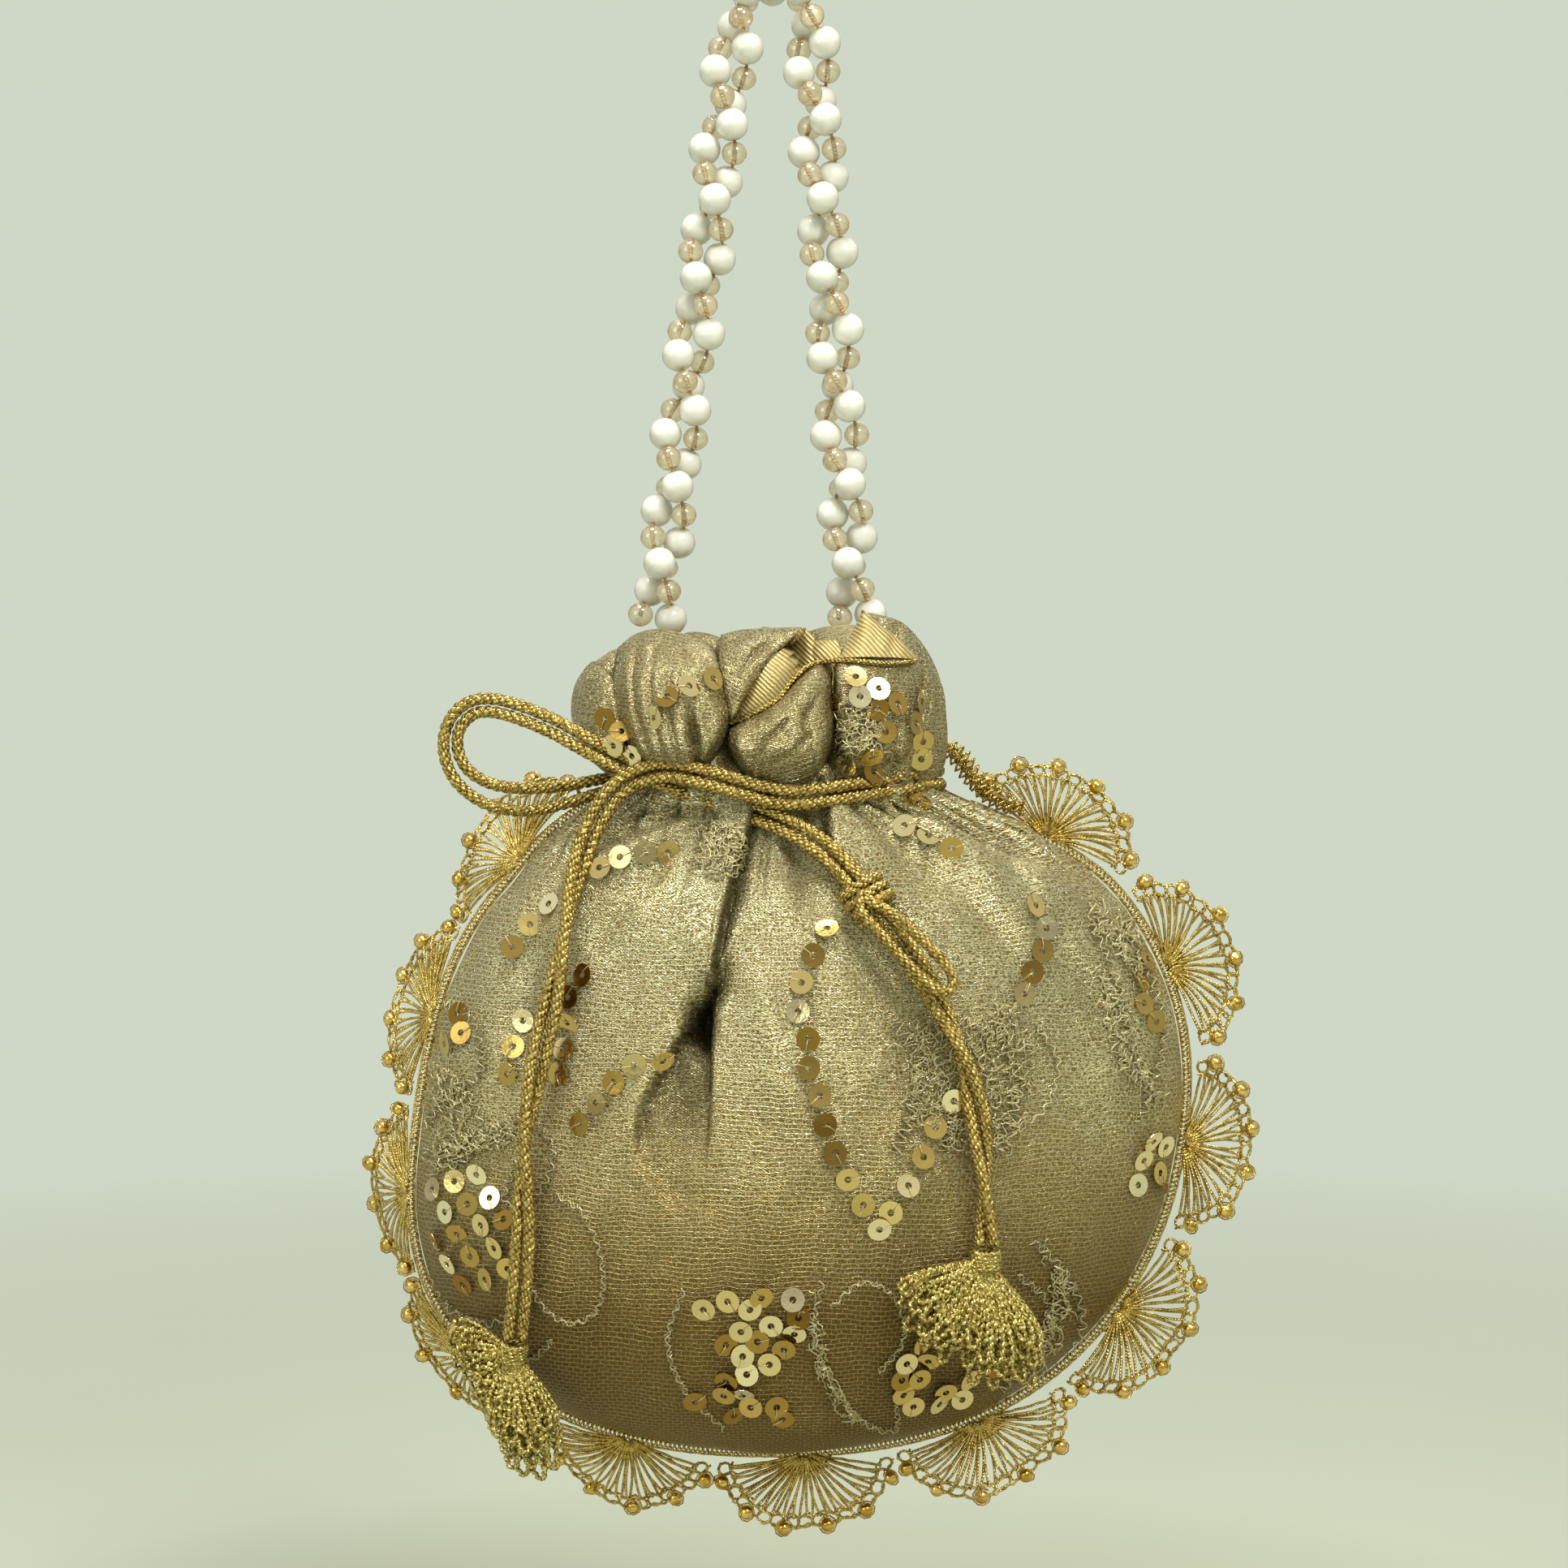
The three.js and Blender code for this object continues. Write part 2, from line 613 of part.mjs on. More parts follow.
// The slip knot: three turns wrapped flat round the right pair, with a small loop pulled out of it.
const knotPoint = rightPairRoute.length - 10;
const knotLoop = [
  [21.6, -41.2, -219.6],
  [27.5, -42.6, -223.0],
  [35.0, -43.2, -229.6],
  [40.6, -43.0, -236.0],
  [41.0, -43.0, -240.0],
  [37.4, -43.0, -240.2],
  [31.5, -43.2, -235.0],
  [25.2, -42.6, -228.0],
  [20.4, -41.2, -222.2],
];
function slipKnot() {
  const inside = cordDiameter + 2 * seatGap;
  const wrap = 0.8 * cordDiameter;
  const flatten = (cordDiameter / 2 + seatGap * 1.6) / inside;
  const outline = [new THREE.Vector2(inside, -knotLength / 2)];
  const turns = 3;
  for (let k = 0; k <= 2 * turns; k++) {
    const crown = k % 2 ? 1 : 0.7;
    outline.push(new THREE.Vector2(inside + wrap * crown, knotLength * (k / (2 * turns) - 0.5)));
  }
  outline.push(new THREE.Vector2(inside, knotLength / 2), outline[0].clone());
  const wraps = new THREE.LatheGeometry(outline, 12);
  const { point, along, front, side } = pairFrames(rightPairRoute)[knotPoint];
  const place = new THREE.Matrix4().makeBasis(side, along, side.clone().cross(along)).setPosition(point);
  wraps.scale(1, 1, (inside * flatten + wrap) / (inside + wrap)).applyMatrix4(place);
  const path = new THREE.CatmullRomCurve3(knotLoop.map((p) => new THREE.Vector3(...p)));
  const loop = new THREE.ExtrudeGeometry(roundSection(0.46 * cordDiameter, 6), {
    steps: 14,
    bevelEnabled: false,
    extrudePath: path,
  });
  return toGeometry(solid(wraps).add(solid(loop)));
}

// One ruffled bell of a tassel: a fluted skirt from its collar to its hem, dished underneath.
function tasselBell(apex, tip, hemRadius, flatten) {
  const axis = tip.clone().sub(apex);
  const length = axis.length();
  axis.normalize();
  const front = toFront.clone().addScaledVector(axis, -toFront.dot(axis)).normalize();
  const across = axis.clone().cross(front);
  const around = 3 * tasselFlutes;
  const profile = [
    [0.04, 0.24, 0],
    [0.16, 0.36, 0],
    [0.4, 0.55, 0.6],
    [0.75, 0.85, 1],
    [1, 1, 1],
    [0.86, 0.55, 0.7],
  ];
  const rings = profile.map(([run, radius, ruffle]) =>
    Array.from({ length: around }, (_, i) => {
      const a = (turn * i) / around;
      const reach = hemRadius * radius * (1 + 0.2 * ruffle * Math.cos(tasselFlutes * a));
      return apex
        .clone()
        .addScaledVector(axis, length * run)
        .addScaledVector(across, reach * Math.cos(a))
        .addScaledVector(front, reach * flatten * Math.sin(a));
    }),
  );
  return skin(rings, apex.clone(), apex.clone().addScaledVector(axis, length * 0.72));
}

// A tassel: two ruffled bells that hang from one collar at the end of its cords.
function tassel(route, tips) {
  const { point, along, front, side } = pairFrames(route)[route.length - 1];
  const collar = new THREE.CylinderGeometry(collarRadius, collarRadius, collarLength, 8);
  const place = new THREE.Matrix4().makeBasis(side, along, front);
  const middle = point.clone().addScaledVector(along, collarLength / 2 + 2.6 * seatGap);
  collar.applyMatrix4(place.setPosition(middle));
  const bells = tips.map(([x, y, z, hemRadius]) =>
    solid(tasselBell(middle, new THREE.Vector3(x, y, z), hemRadius, tasselFlatness)),
  );
  return toGeometry(bells.reduce((all, bell) => all.add(bell), solid(collar)));
}

const group = new THREE.Group();

function addPiece(name, geometry, color, roughness, metalness) {
  const mesh = new THREE.Mesh(geometry, new THREE.MeshStandardMaterial({ color, roughness, metalness }));
  mesh.name = name;
  group.add(mesh);
}

addPiece("pouch_body", pouchBody(), 0xb8a868, 0.45, 0.6);
addPiece("mouth_lining", mouthLining(), 0xc8b060, 0.35, 0.4);
addPiece("mouth_braid", mouthBraid(), 0xc0a860, 0.4, 0.7);
addPiece("bead_strand_a", beadStrand(1), 0xf0ece2, 0.25, 0);
addPiece("bead_strand_b", beadStrand(-1), 0xf0ece2, 0.25, 0);
addPiece("lace_trim", laceTrim(), 0xb8903a, 0.35, 0.8);
addPiece("drawcord_left_a", drawcord(leftPairRoute, 1), 0xb8923e, 0.4, 0.8);
addPiece("drawcord_left_b", drawcord(leftPairRoute, -1), 0xb8923e, 0.4, 0.8);
addPiece("drawcord_right_a", drawcord(rightPairRoute, 1), 0xb8923e, 0.4, 0.8);
addPiece("drawcord_right_b", drawcord(rightPairRoute, -1), 0xb8923e, 0.4, 0.8);
addPiece("slip_knot", slipKnot(), 0xb8923e, 0.4, 0.8);
addPiece(
  "tassel_left",
  tassel(leftPairRoute, [
    [-78, -21, -324, 9],
    [-52, -25.4, -356.6, 10],
  ]),
  0xb08a3c,
  0.45,
  0.75,
);
addPiece(
  "tassel_right",
  tassel(rightPairRoute, [
    [55, -36, -332, 11],
    [33, -43, -318, 9],
  ]),
  0xb08a3c,
  0.45,
  0.75,
);

export default group;
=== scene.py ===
import math

import bpy
import numpy as np
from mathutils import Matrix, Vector
from mathutils.bvhtree import BVHTree


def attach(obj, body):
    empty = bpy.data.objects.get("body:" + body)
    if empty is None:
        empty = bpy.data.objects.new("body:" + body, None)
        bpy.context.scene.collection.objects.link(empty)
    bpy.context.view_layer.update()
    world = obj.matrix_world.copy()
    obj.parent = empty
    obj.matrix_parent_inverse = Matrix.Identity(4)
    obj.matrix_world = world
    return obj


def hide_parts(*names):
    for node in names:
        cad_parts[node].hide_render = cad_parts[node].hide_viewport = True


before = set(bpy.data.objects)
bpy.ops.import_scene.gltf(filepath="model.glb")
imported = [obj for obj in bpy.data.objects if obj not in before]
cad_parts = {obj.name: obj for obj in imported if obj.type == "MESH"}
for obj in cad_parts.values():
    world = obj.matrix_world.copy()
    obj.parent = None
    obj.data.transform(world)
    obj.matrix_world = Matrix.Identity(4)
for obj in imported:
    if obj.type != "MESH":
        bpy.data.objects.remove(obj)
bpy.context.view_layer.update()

# A gathered drawstring pouch on a twisted bead handle. Shapes are worked out in millimetres and
# made in metres.
# X runs to the right, Y to the back and Z up, from the hang point inside the top of the handle loop.
MM = 0.001
TURN = 2 * math.pi
rng = np.random.default_rng(11)

# The camera is level with the middle of the bag, straight in front of it.
EYE = np.array([2.6, -600.0, -193.2])
VIEW_WIDTH = 386.4  # what the picture spans at the handle's plane
SENSOR_WIDTH = 36.0

# Sizes shared with the solids
SEAT_GAP = 0.35
PEARL_DIAMETER = 8.0
GLASS_DIAMETER = 6.2
STRAND_CLEARANCE = 0.5
HANDLE_DROP = 152.0
HANDLE_SPREAD = 49.0
HANDLE_MIDDLE = -4.5
LOOP_WIDTH = 17.6
TWISTS_PER_LEG = 3.25
FRILL_HEIGHT = 37.0
FRILL_WIDTH = 91.0
FRILL_DEPTH = 62.0
NECK_WIDTH = 74.0
NECK_DEPTH = 46.0
BODY_WIDTH = 186.0
BODY_DEPTH = 78.0
SHOULDER_HEIGHT = 86.0
BELLY_HEIGHT = 77.0
SHOULDER_ROUNDNESS = 2.4
BELLY_ROUNDNESS = 2.3
SHOULDER_SHIFT = 8.5
LINING_THICKNESS = 5.0
EDGE_BRAID_DIAMETER = 1.5
LACE_BAND = 2.2
FAN_PITCH = 45.0
FAN_REACH = 17.5
RIM_BEAD_DIAMETER = 3.6
RIM_BEADS = 6
LACE_WAVE = 2.2
LACE_DROOP = 48.0  # degrees that the fans of the left side lean back
CORD_DIAMETER = 3.0
KNOT_LENGTH = 9.0

HELIX_RADIUS = (PEARL_DIAMETER + GLASS_DIAMETER) / 4 + STRAND_CLEARANCE / 2
LOOP_RADIUS = LOOP_WIDTH / 2
LOOP_CENTRE_Z = PEARL_DIAMETER / 2 - LOOP_RADIUS
PIVOT_Z = -HANDLE_DROP
CREST_Z = PIVOT_Z - PEARL_DIAMETER / 2 - SEAT_GAP
TIE_Z = CREST_Z - FRILL_HEIGHT
BELLY_Z = TIE_Z - SHOULDER_HEIGHT
BOTTOM_Z = BELLY_Z - BELLY_HEIGHT


# Camera


camera = bpy.data.objects.new("camera", bpy.data.cameras.new("camera"))
camera.location = EYE * MM
camera.rotation_euler = (math.pi / 2, 0, 0)
camera.data.sensor_width = SENSOR_WIDTH
camera.data.lens = SENSOR_WIDTH * -EYE[1] / VIEW_WIDTH
bpy.context.scene.collection.objects.link(camera)
bpy.context.scene.camera = camera
bpy.context.scene.view_settings.view_transform = "Standard"


# Helpers


def smooth(low, high, value):
    t = np.clip((np.asarray(value, float) - low) / (high - low), 0, 1)
    return t * t * (3 - 2 * t)


def unit(v):
    return v / np.maximum(np.linalg.norm(v, axis=-1, keepdims=True), 1e-9)


def run_along(line):
    """How far along a line each of its points is."""
    return np.concatenate([[0], np.cumsum(np.linalg.norm(np.diff(line, axis=0), axis=1))])


def at_runs(line, run, at):
    """The points of a line at given distances along it."""
    return np.stack([np.interp(at, run, line[:, i]) for i in range(line.shape[1])], axis=1)


def ring_faces(rings, count, first=0):
    """Quads between rings of count points each, numbered from first."""
    i = np.arange(count)
    j = (i + 1) % count
    starts = first + count * np.arange(rings - 1)
    return np.vstack([np.stack([a + i, a + count + i, a + count + j, a + j], 1) for a in starts])


def add_mesh(name, points, faces, material, shade_smooth=True):
    mesh = bpy.data.meshes.new(name)
    mesh.from_pydata((np.asarray(points) * MM).tolist(), [], [list(map(int, f)) for f in faces])
    if shade_smooth:
        mesh.shade_smooth()
    obj = bpy.data.objects.new(name, mesh)
    bpy.context.scene.collection.objects.link(obj)
    mesh.materials.append(material)
    return obj


def set_uv(obj, uv, name="UVMap"):
    """uv has one pair for each vertex."""
    layer = obj.data.uv_layers.new(name=name)
    loops = np.empty(len(obj.data.loops), dtype=np.int32)
    obj.data.loops.foreach_get("vertex_index", loops)
    layer.data.foreach_set("uv", np.asarray(uv, np.float32)[loops].ravel())


def spline(points, count):
    """A smooth line through points, as count points evenly spaced along it."""
    p = np.asarray(points, float)
    ends = np.vstack([2 * p[0] - p[1], p, 2 * p[-1] - p[-2]])
    out = []
    t = np.linspace(0, 1, 24, endpoint=False)[:, None]
    for k in range(len(p) - 1):
        a, b, c, d = ends[k : k + 4]
        square = (2 * a - 5 * b + 4 * c - d) * t**2
        cube = (3 * b - a - 3 * c + d) * t**3
        out.append(0.5 * (2 * b + (c - a) * t + square + cube))
    line = np.vstack(out + [p[-1:]])
    run = run_along(line)
    return at_runs(line, run, np.linspace(0, run[-1], count))


def line_length(line):
    return float(np.linalg.norm(np.diff(line, axis=0), axis=1).sum())


def resample(line, step):
    """The same line with its points about a step apart."""
    run = run_along(line)
    return at_runs(line, run, np.linspace(0, run[-1], max(2, int(round(run[-1] / step)) + 1)))


def frames(line):
    """Directions along a line and two across it that don't twist."""
    along = unit(np.gradient(line, axis=0))
    normal = np.zeros_like(line)
    guess = np.array([0.0, -1.0, 0.0]) if abs(along[0][1]) < 0.9 else np.array([1.0, 0.0, 0.0])
    normal[0] = unit(guess - along[0] * guess.dot(along[0]))
    for k in range(1, len(line)):
        n = normal[k - 1] - along[k] * normal[k - 1].dot(along[k])
        normal[k] = n / max(np.linalg.norm(n), 1e-9)
    return along, normal, np.cross(along, normal)


class Tubes:
    """Collects many tubes into one mesh."""

    def __init__(self):
        self.points, self.faces, self.uv, self.count = [], [], [], 0

    def add(self, line, radius, sides=6, closed=False):
        line = np.asarray(line, float)
        n = len(line)
        if closed:
            along = unit(np.roll(line, -1, axis=0) - np.roll(line, 1, axis=0))
            _, normal, _ = frames(line)
            normal = unit(normal - along * (normal * along).sum(1, keepdims=True))
            over = np.cross(along, normal)
        else:
            along, normal, over = frames(line)
        radius = np.broadcast_to(np.asarray(radius, float), (n,))
        a = TURN * np.arange(sides) / sides
        outward = normal[:, None] * np.cos(a)[None, :, None] + over[:, None] * np.sin(a)[None, :, None]
        ring = line[:, None] + radius[:, None, None] * outward
        run = run_along(line)
        self.points.append(ring.reshape(-1, 3))
        self.uv.append(np.stack([np.tile(np.arange(sides) / sides, n), np.repeat(run, sides)], 1))
        k = np.arange(n if closed else n - 1)[:, None]
        s = np.arange(sides)[None, :]
        here, there = self.count + k * sides, self.count + ((k + 1) % n) * sides
        nxt = (s + 1) % sides
        quads = np.stack([here + s, here + nxt, there + nxt, there + s], -1).reshape(-1, 4)
        self.faces.extend(quads.tolist())
        if not closed:
            self.faces.append([self.count + i for i in reversed(range(sides))])
            self.faces.append([self.count + (n - 1) * sides + i for i in range(sides)])
        self.count += n * sides

    def make(self, name, material):
        obj = add_mesh(name, np.vstack(self.points), self.faces, material)
        set_uv(obj, np.vstack(self.uv))
        return obj


class Parts:
    """Collects copies of small shapes into one mesh."""

    def __init__(self):
        self.points, self.faces, self.count = [], [], 0

    def add(self, points, faces):
        self.points.append(points)
        self.faces.extend((np.asarray(f) + self.count).tolist() for f in faces)
        self.count += len(points)

    def make(self, name, material, shade_smooth=True):
        return add_mesh(name, np.vstack(self.points), self.faces, material, shade_smooth)


def ball(segments, rings, dimple=0.0):
    """A unit ball along Z, with its poles drawn in by dimple, as a drilled bead's are."""
    points, faces = [], []
    for r in range(1, rings):
        a = math.pi * r / rings
        pull = 1 - dimple * math.exp(-((math.sin(a) / 0.22) ** 2))
        for s in range(segments):
            b = TURN * s / segments
            points.append((math.sin(a) * math.cos(b), math.sin(a) * math.sin(b), math.cos(a) * pull))
    top, bottom = len(points), len(points) + 1
    points += [(0, 0, 1 - 1.6 * dimple), (0, 0, -1 + 1.6 * dimple)]
    for s in range(segments):
        t = (s + 1) % segments
        faces.append([top, s, t])
        for r in range(rings - 2):
            faces.append([r * segments + s, (r + 1) * segments + s, (r + 1) * segments + t, r * segments + t])
        faces.append([bottom, (rings - 2) * segments + t, (rings - 2) * segments + s])
    return np.array(points), faces


def turned(points, direction):
    """Points whose Z is turned to a direction."""
    z = unit(np.asarray(direction, float))
    x = unit(np.cross(z, [0.31, 0.95, 0.11]))
    y = np.cross(z, x)
    return points[:, :1] * x + points[:, 1:2] * y + points[:, 2:3] * z


# Materials


class Nodes:
    """The node tree of a material or of the world, with one short call for each kind of node."""

    def __init__(self, owner):
        owner.use_nodes = True
        self.owner = owner
        self.tree = owner.node_tree
        self.shader = self.tree.nodes.get("Principled BSDF")

    def node(self, kind, inputs=None, **settings):
        n = self.tree.nodes.new(kind)
        for key, value in settings.items():
            setattr(n, key, value)
        for key, value in (inputs or {}).items():
            self.put(n, key, value)
        return n

    def put(self, node, key, value):
        if isinstance(value, bpy.types.NodeSocket):
            self.tree.links.new(value, node.inputs[key])
        else:
            node.inputs[key].default_value = value

    def math(self, operation, a, b=0.0, clamp=False):
        return self.node("ShaderNodeMath", {0: a, 1: b}, operation=operation, use_clamp=clamp).outputs[0]

    def plus(self, a, b):
        return self.math("ADD", a, b)

    def times(self, a, b):
        return self.math("MULTIPLY", a, b)

    def split(self, vector):
        """The three parts of a vector."""
        return self.node("ShaderNodeSeparateXYZ", {0: vector}).outputs

    def place(self):
        return self.node("ShaderNodeNewGeometry").outputs["Position"]

    def uv(self, name=""):
        return self.node("ShaderNodeUVMap", uv_map=name).outputs[0]

    def mix(self, factor, a, b):
        n = self.node("ShaderNodeMix", data_type="RGBA")
        self.put(n, 0, factor)
        self.put(n, 6, a)
        self.put(n, 7, b)
        return n.outputs[2]

    def noise(self, vector, scale, detail=2.0):
        inputs = {"Vector": vector, "Scale": scale, "Detail": detail}
        return self.node("ShaderNodeTexNoise", inputs).outputs[0]

    def remap(self, value, low, high, to_low=0.0, to_high=1.0):
        return self.node("ShaderNodeMapRange", {0: value, 1: low, 2: high, 3: to_low, 4: to_high}).outputs[0]

    def bump(self, height, strength, distance):
        inputs = {"Height": height, "Strength": strength, "Distance": distance}
        return self.node("ShaderNodeBump", inputs).outputs[0]

    def surface(self, **inputs):
        for key, value in inputs.items():
            self.put(self.shader, key.replace("_", " "), value)
        return self.owner


def new_material(name):
    return Nodes(bpy.data.materials.new(name))


def rgb(r, g, b):
    """A colour as seen on a screen, 0 to 255, in the renderer's own linear terms."""
    return tuple(((c / 255 + 0.055) / 1.055) ** 2.4 for c in (r, g, b)) + (1.0,)


NET_CELL = (2.1, 1.15)
NET_THREAD = 0.17
NET_WOBBLE = 3.2


def net_over(n, uv):
    """A net of pale threads in brick-like cells."""
    black, white = (0, 0, 0, 1), (1, 1, 1, 1)
    inputs = {"Vector": uv, "Color1": black, "Color2": black, "Mortar": white, "Scale": 1.0}
    inputs |= {"Mortar Size": NET_THREAD, "Mortar Smooth": 0.5}
    inputs |= {"Brick Width": NET_CELL[0], "Row Height": NET_CELL[1]}
    return n.node("ShaderNodeTexBrick", inputs).outputs["Color"]


def painted_shade_by_height(n, base, net, level):
    """Painted shade: the cloth is painted darker down the body, darkest under the belly, and duller in the
    gathers and above them.
    """
    painted_lower_shade = n.remap(level, (BELLY_Z - 14) * MM, (BELLY_Z + 36) * MM, 0.5, 0.0)
    base = n.mix(painted_lower_shade, base, n.mix(net, rgb(134, 104, 36), rgb(196, 178, 104)))
    painted_gather_shade = n.remap(level, (TIE_Z - 4) * MM, (TIE_Z + 6) * MM, 0.0, 0.34)
    base = n.mix(painted_gather_shade, base, rgb(122, 98, 44))
    painted_underside_shade = n.remap(level, (BELLY_Z - 38) * MM, (BELLY_Z + 2) * MM, 0.84, 0.0)
    return n.mix(painted_underside_shade, base, n.mix(net, rgb(82, 58, 16), rgb(146, 120, 58)))


def tissue_material():
    """Gold tissue under a net of pale metal threads, with short slanted glints between them."""
    n = new_material("tissue")
    uv = n.uv("UVMap")
    painted_shade = n.split(n.uv("painted_shade"))[0]
    where = n.place()
    wobble = n.node("ShaderNodeTexNoise", {"Vector": uv, "Scale": 0.09, "Detail": 2.0}).outputs["Color"]
    shift = n.node("ShaderNodeVectorMath", {0: wobble, 1: (0.5, 0.5, 0.5)}, operation="SUBTRACT").outputs[0]
    shift = n.node("ShaderNodeVectorMath", {0: shift, "Scale": NET_WOBBLE}, operation="SCALE").outputs[0]
    moved = n.node("ShaderNodeVectorMath", {0: uv, 1: shift}, operation="ADD").outputs[0]
    net = net_over(n, moved)
    slanted = {"Vector": moved, "Scale": (1.1, 2.3, 1.0), "Rotation": (0, 0, 0.42)}
    cells = n.node("ShaderNodeMapping", slanted).outputs[0]
    patches = n.remap(n.noise(where, 46.0, 2.0), 0.4, 0.62)
    glint = n.times(n.remap(n.noise(cells, 1.25, 1.0), 0.47, 0.56), n.plus(n.times(patches, 0.5), 0.5))
    sparks = n.remap(n.noise(cells, 2.2, 0.0), 0.62, 0.7)
    across, up, _ = n.split(moved)
    twill = n.math("SINE", n.plus(n.times(across, TURN / 0.9), n.times(up, TURN / 0.55)))
    base = n.mix(glint, rgb(124, 98, 40), rgb(222, 216, 158))
    base = n.mix(n.times(net, 0.66), base, rgb(216, 216, 180))
    base = n.mix(sparks, base, rgb(250, 250, 226))
    # painted shade: darker down the body, under the belly and in the gathers
    base = painted_shade_by_height(n, base, net, n.split(where)[2])
    drift = n.remap(n.noise(where, 24.0, 3.0), 0.35, 0.65, 0.0, 0.22)
    base = n.mix(drift, base, rgb(150, 126, 70))
    # painted shade in creases, sunk folds and the lobes' tucked rims, from the second UV layer
    base = n.mix(n.times(painted_shade, 0.86), base, rgb(58, 40, 12))
    height = n.plus(n.times(net, 0.9), n.times(twill, 0.12))
    height = n.plus(height, n.times(glint, 0.7))
    height = n.plus(height, n.times(n.noise(cells, 0.7, 2.0), 0.8))
    shine = n.math("MAXIMUM", sparks, n.times(glint, 0.6))
    metallic = n.remap(shine, 0.0, 1.0, 0.74, 0.97)
    roughness = n.remap(shine, 0.0, 1.0, 0.4, 0.24)
    normal = n.bump(height, 0.9, 0.00036)
    return n.surface(Base_Color=base, Metallic=metallic, Roughness=roughness, Normal=normal)


def satin_material():
    """Satin with fine ribs across it."""
    n = new_material("satin")
    uv = n.uv()
    across = n.split(uv)[0]
    ribs = n.math("SINE", n.times(across, TURN / 0.95))
    fine = n.noise(uv, 1.6, 2.0)
    base = n.mix(n.remap(ribs, -1.0, 1.0), rgb(140, 116, 60), rgb(204, 186, 128))
    base = n.mix(n.remap(fine, 0.3, 0.7, 0.0, 0.4), base, rgb(170, 150, 96))
    normal = n.bump(n.plus(n.times(ribs, 0.6), fine), 0.6, 0.00024)
    return n.surface(Base_Color=base, Metallic=0.5, Roughness=0.46, Normal=normal)


def thread_material(name, dark, light, metallic, roughness, pitch):
    """Metallic thread: fine strands that slant along a tube, whose UV runs round it and along it."""
    n = new_material(name)
    round_it, along_it, _ = n.split(n.uv())
    strands = n.math("SINE", n.plus(n.times(round_it, TURN * 2), n.times(along_it, TURN / pitch)))
    stripes = n.remap(strands, -1.0, 1.0, 0.0, 0.55)
    blotches = n.remap(n.noise(n.place(), 900.0, 2.0), 0.3, 0.7, -0.2, 0.55)
    base = n.mix(n.math("ADD", stripes, blotches, clamp=True), dark, light)
    normal = n.bump(strands, 0.5, 0.0002)
    return n.surface(Base_Color=base, Metallic=metallic, Roughness=roughness, Normal=normal)


def pearl_material():
    n = new_material("pearl")
    where = n.place()
    tint = n.mix(n.remap(n.noise(where, 160.0, 2.0), 0.35, 0.65), rgb(226, 224, 212), rgb(244, 243, 234))
    # painted shade: the pearl is painted greyer towards its edges as the camera sees them
    facing = n.node("ShaderNodeLayerWeight", {"Blend": 0.35}).outputs["Facing"]
    base = n.mix(n.math("POWER", facing, 1.5), tint, rgb(160, 156, 134))
    normal = n.bump(n.noise(where, 1500.0, 2.0), 0.04, 0.0002)
    n.surface(Base_Color=base, Roughness=0.28, Specular_IOR_Level=0.6, Normal=normal)
    n.surface(Subsurface_Weight=0.12, Subsurface_Radius=(0.004, 0.003, 0.002), Subsurface_Scale=0.4)
    return n.surface(Coat_Weight=0.7, Coat_Roughness=0.12)


def glass_material():
    n = new_material("lustre_glass")
    facing = n.node("ShaderNodeLayerWeight", {"Blend": 0.45}).outputs["Facing"]
    base = n.mix(facing, rgb(250, 240, 212), rgb(198, 150, 82))
    where = n.place()
    normal = n.bump(n.noise(where, 700.0, 1.0), 0.08, 0.0003)
    n.surface(Base_Color=base, Metallic=0.1, Roughness=0.04, Normal=normal)
    return n.surface(IOR=1.5, Transmission_Weight=0.86, Coat_Weight=0.5, Coat_Roughness=0.05)


def sequin_material():
    """Each sequin's own tone is its U."""
    n = new_material("sequin")
    where = n.place()
    tone = n.split(n.uv())[0]
    base = n.mix(n.remap(tone, 0.0, 0.45), rgb(150, 112, 40), rgb(214, 186, 110))
    base = n.mix(n.remap(tone, 0.5, 1.0), base, rgb(250, 238, 196))
    normal = n.bump(n.noise(where, 1100.0, 1.0), 0.16, 0.0002)
    roughness = n.remap(tone, 0.0, 1.0, 0.2, 0.12)
    return n.surface(Base_Color=base, Metallic=1.0, Roughness=roughness, Normal=normal)


def bead_material():
    n = new_material("gold_bead")
    where = n.place()
    base = n.mix(n.remap(n.noise(where, 300.0), 0.35, 0.65), rgb(196, 154, 60), rgb(244, 214, 132))
    return n.surface(Base_Color=base, Metallic=1.0, Roughness=0.2)


tissue = tissue_material()
satin = satin_material()
pearl = pearl_material()
glass = glass_material()
sequin = sequin_material()
gold_bead = bead_material()
cord_gold = thread_material("cord_gold", rgb(112, 86, 28), rgb(232, 206, 124), 0.82, 0.33, 0.9)
lace_gold = thread_material("lace_gold", rgb(156, 122, 40), rgb(252, 228, 138), 0.86, 0.25, 0.8)
tassel_gold = thread_material("tassel_gold", rgb(138, 112, 40), rgb(244, 228, 146), 0.82, 0.3, 0.9)
silver_thread = thread_material("silver_thread", rgb(190, 172, 112), rgb(252, 244, 204), 0.74, 0.3, 0.5)
bead_thread = thread_material("bead_thread", rgb(170, 128, 70), rgb(232, 200, 140), 0.3, 0.4, 0.6)


# The cloth's form


def round_share(z):
    """How far the body's round outline stands out at a height, as a share of its widest."""
    above = z > BELLY_Z
    reach = np.where(above, SHOULDER_HEIGHT, BELLY_HEIGHT)
    power = np.where(above, SHOULDER_ROUNDNESS, BELLY_ROUNDNESS)
    share = np.minimum(1, np.abs(z - BELLY_Z) / reach)
    return np.maximum(0, 1 - share**power) ** (1 / power)


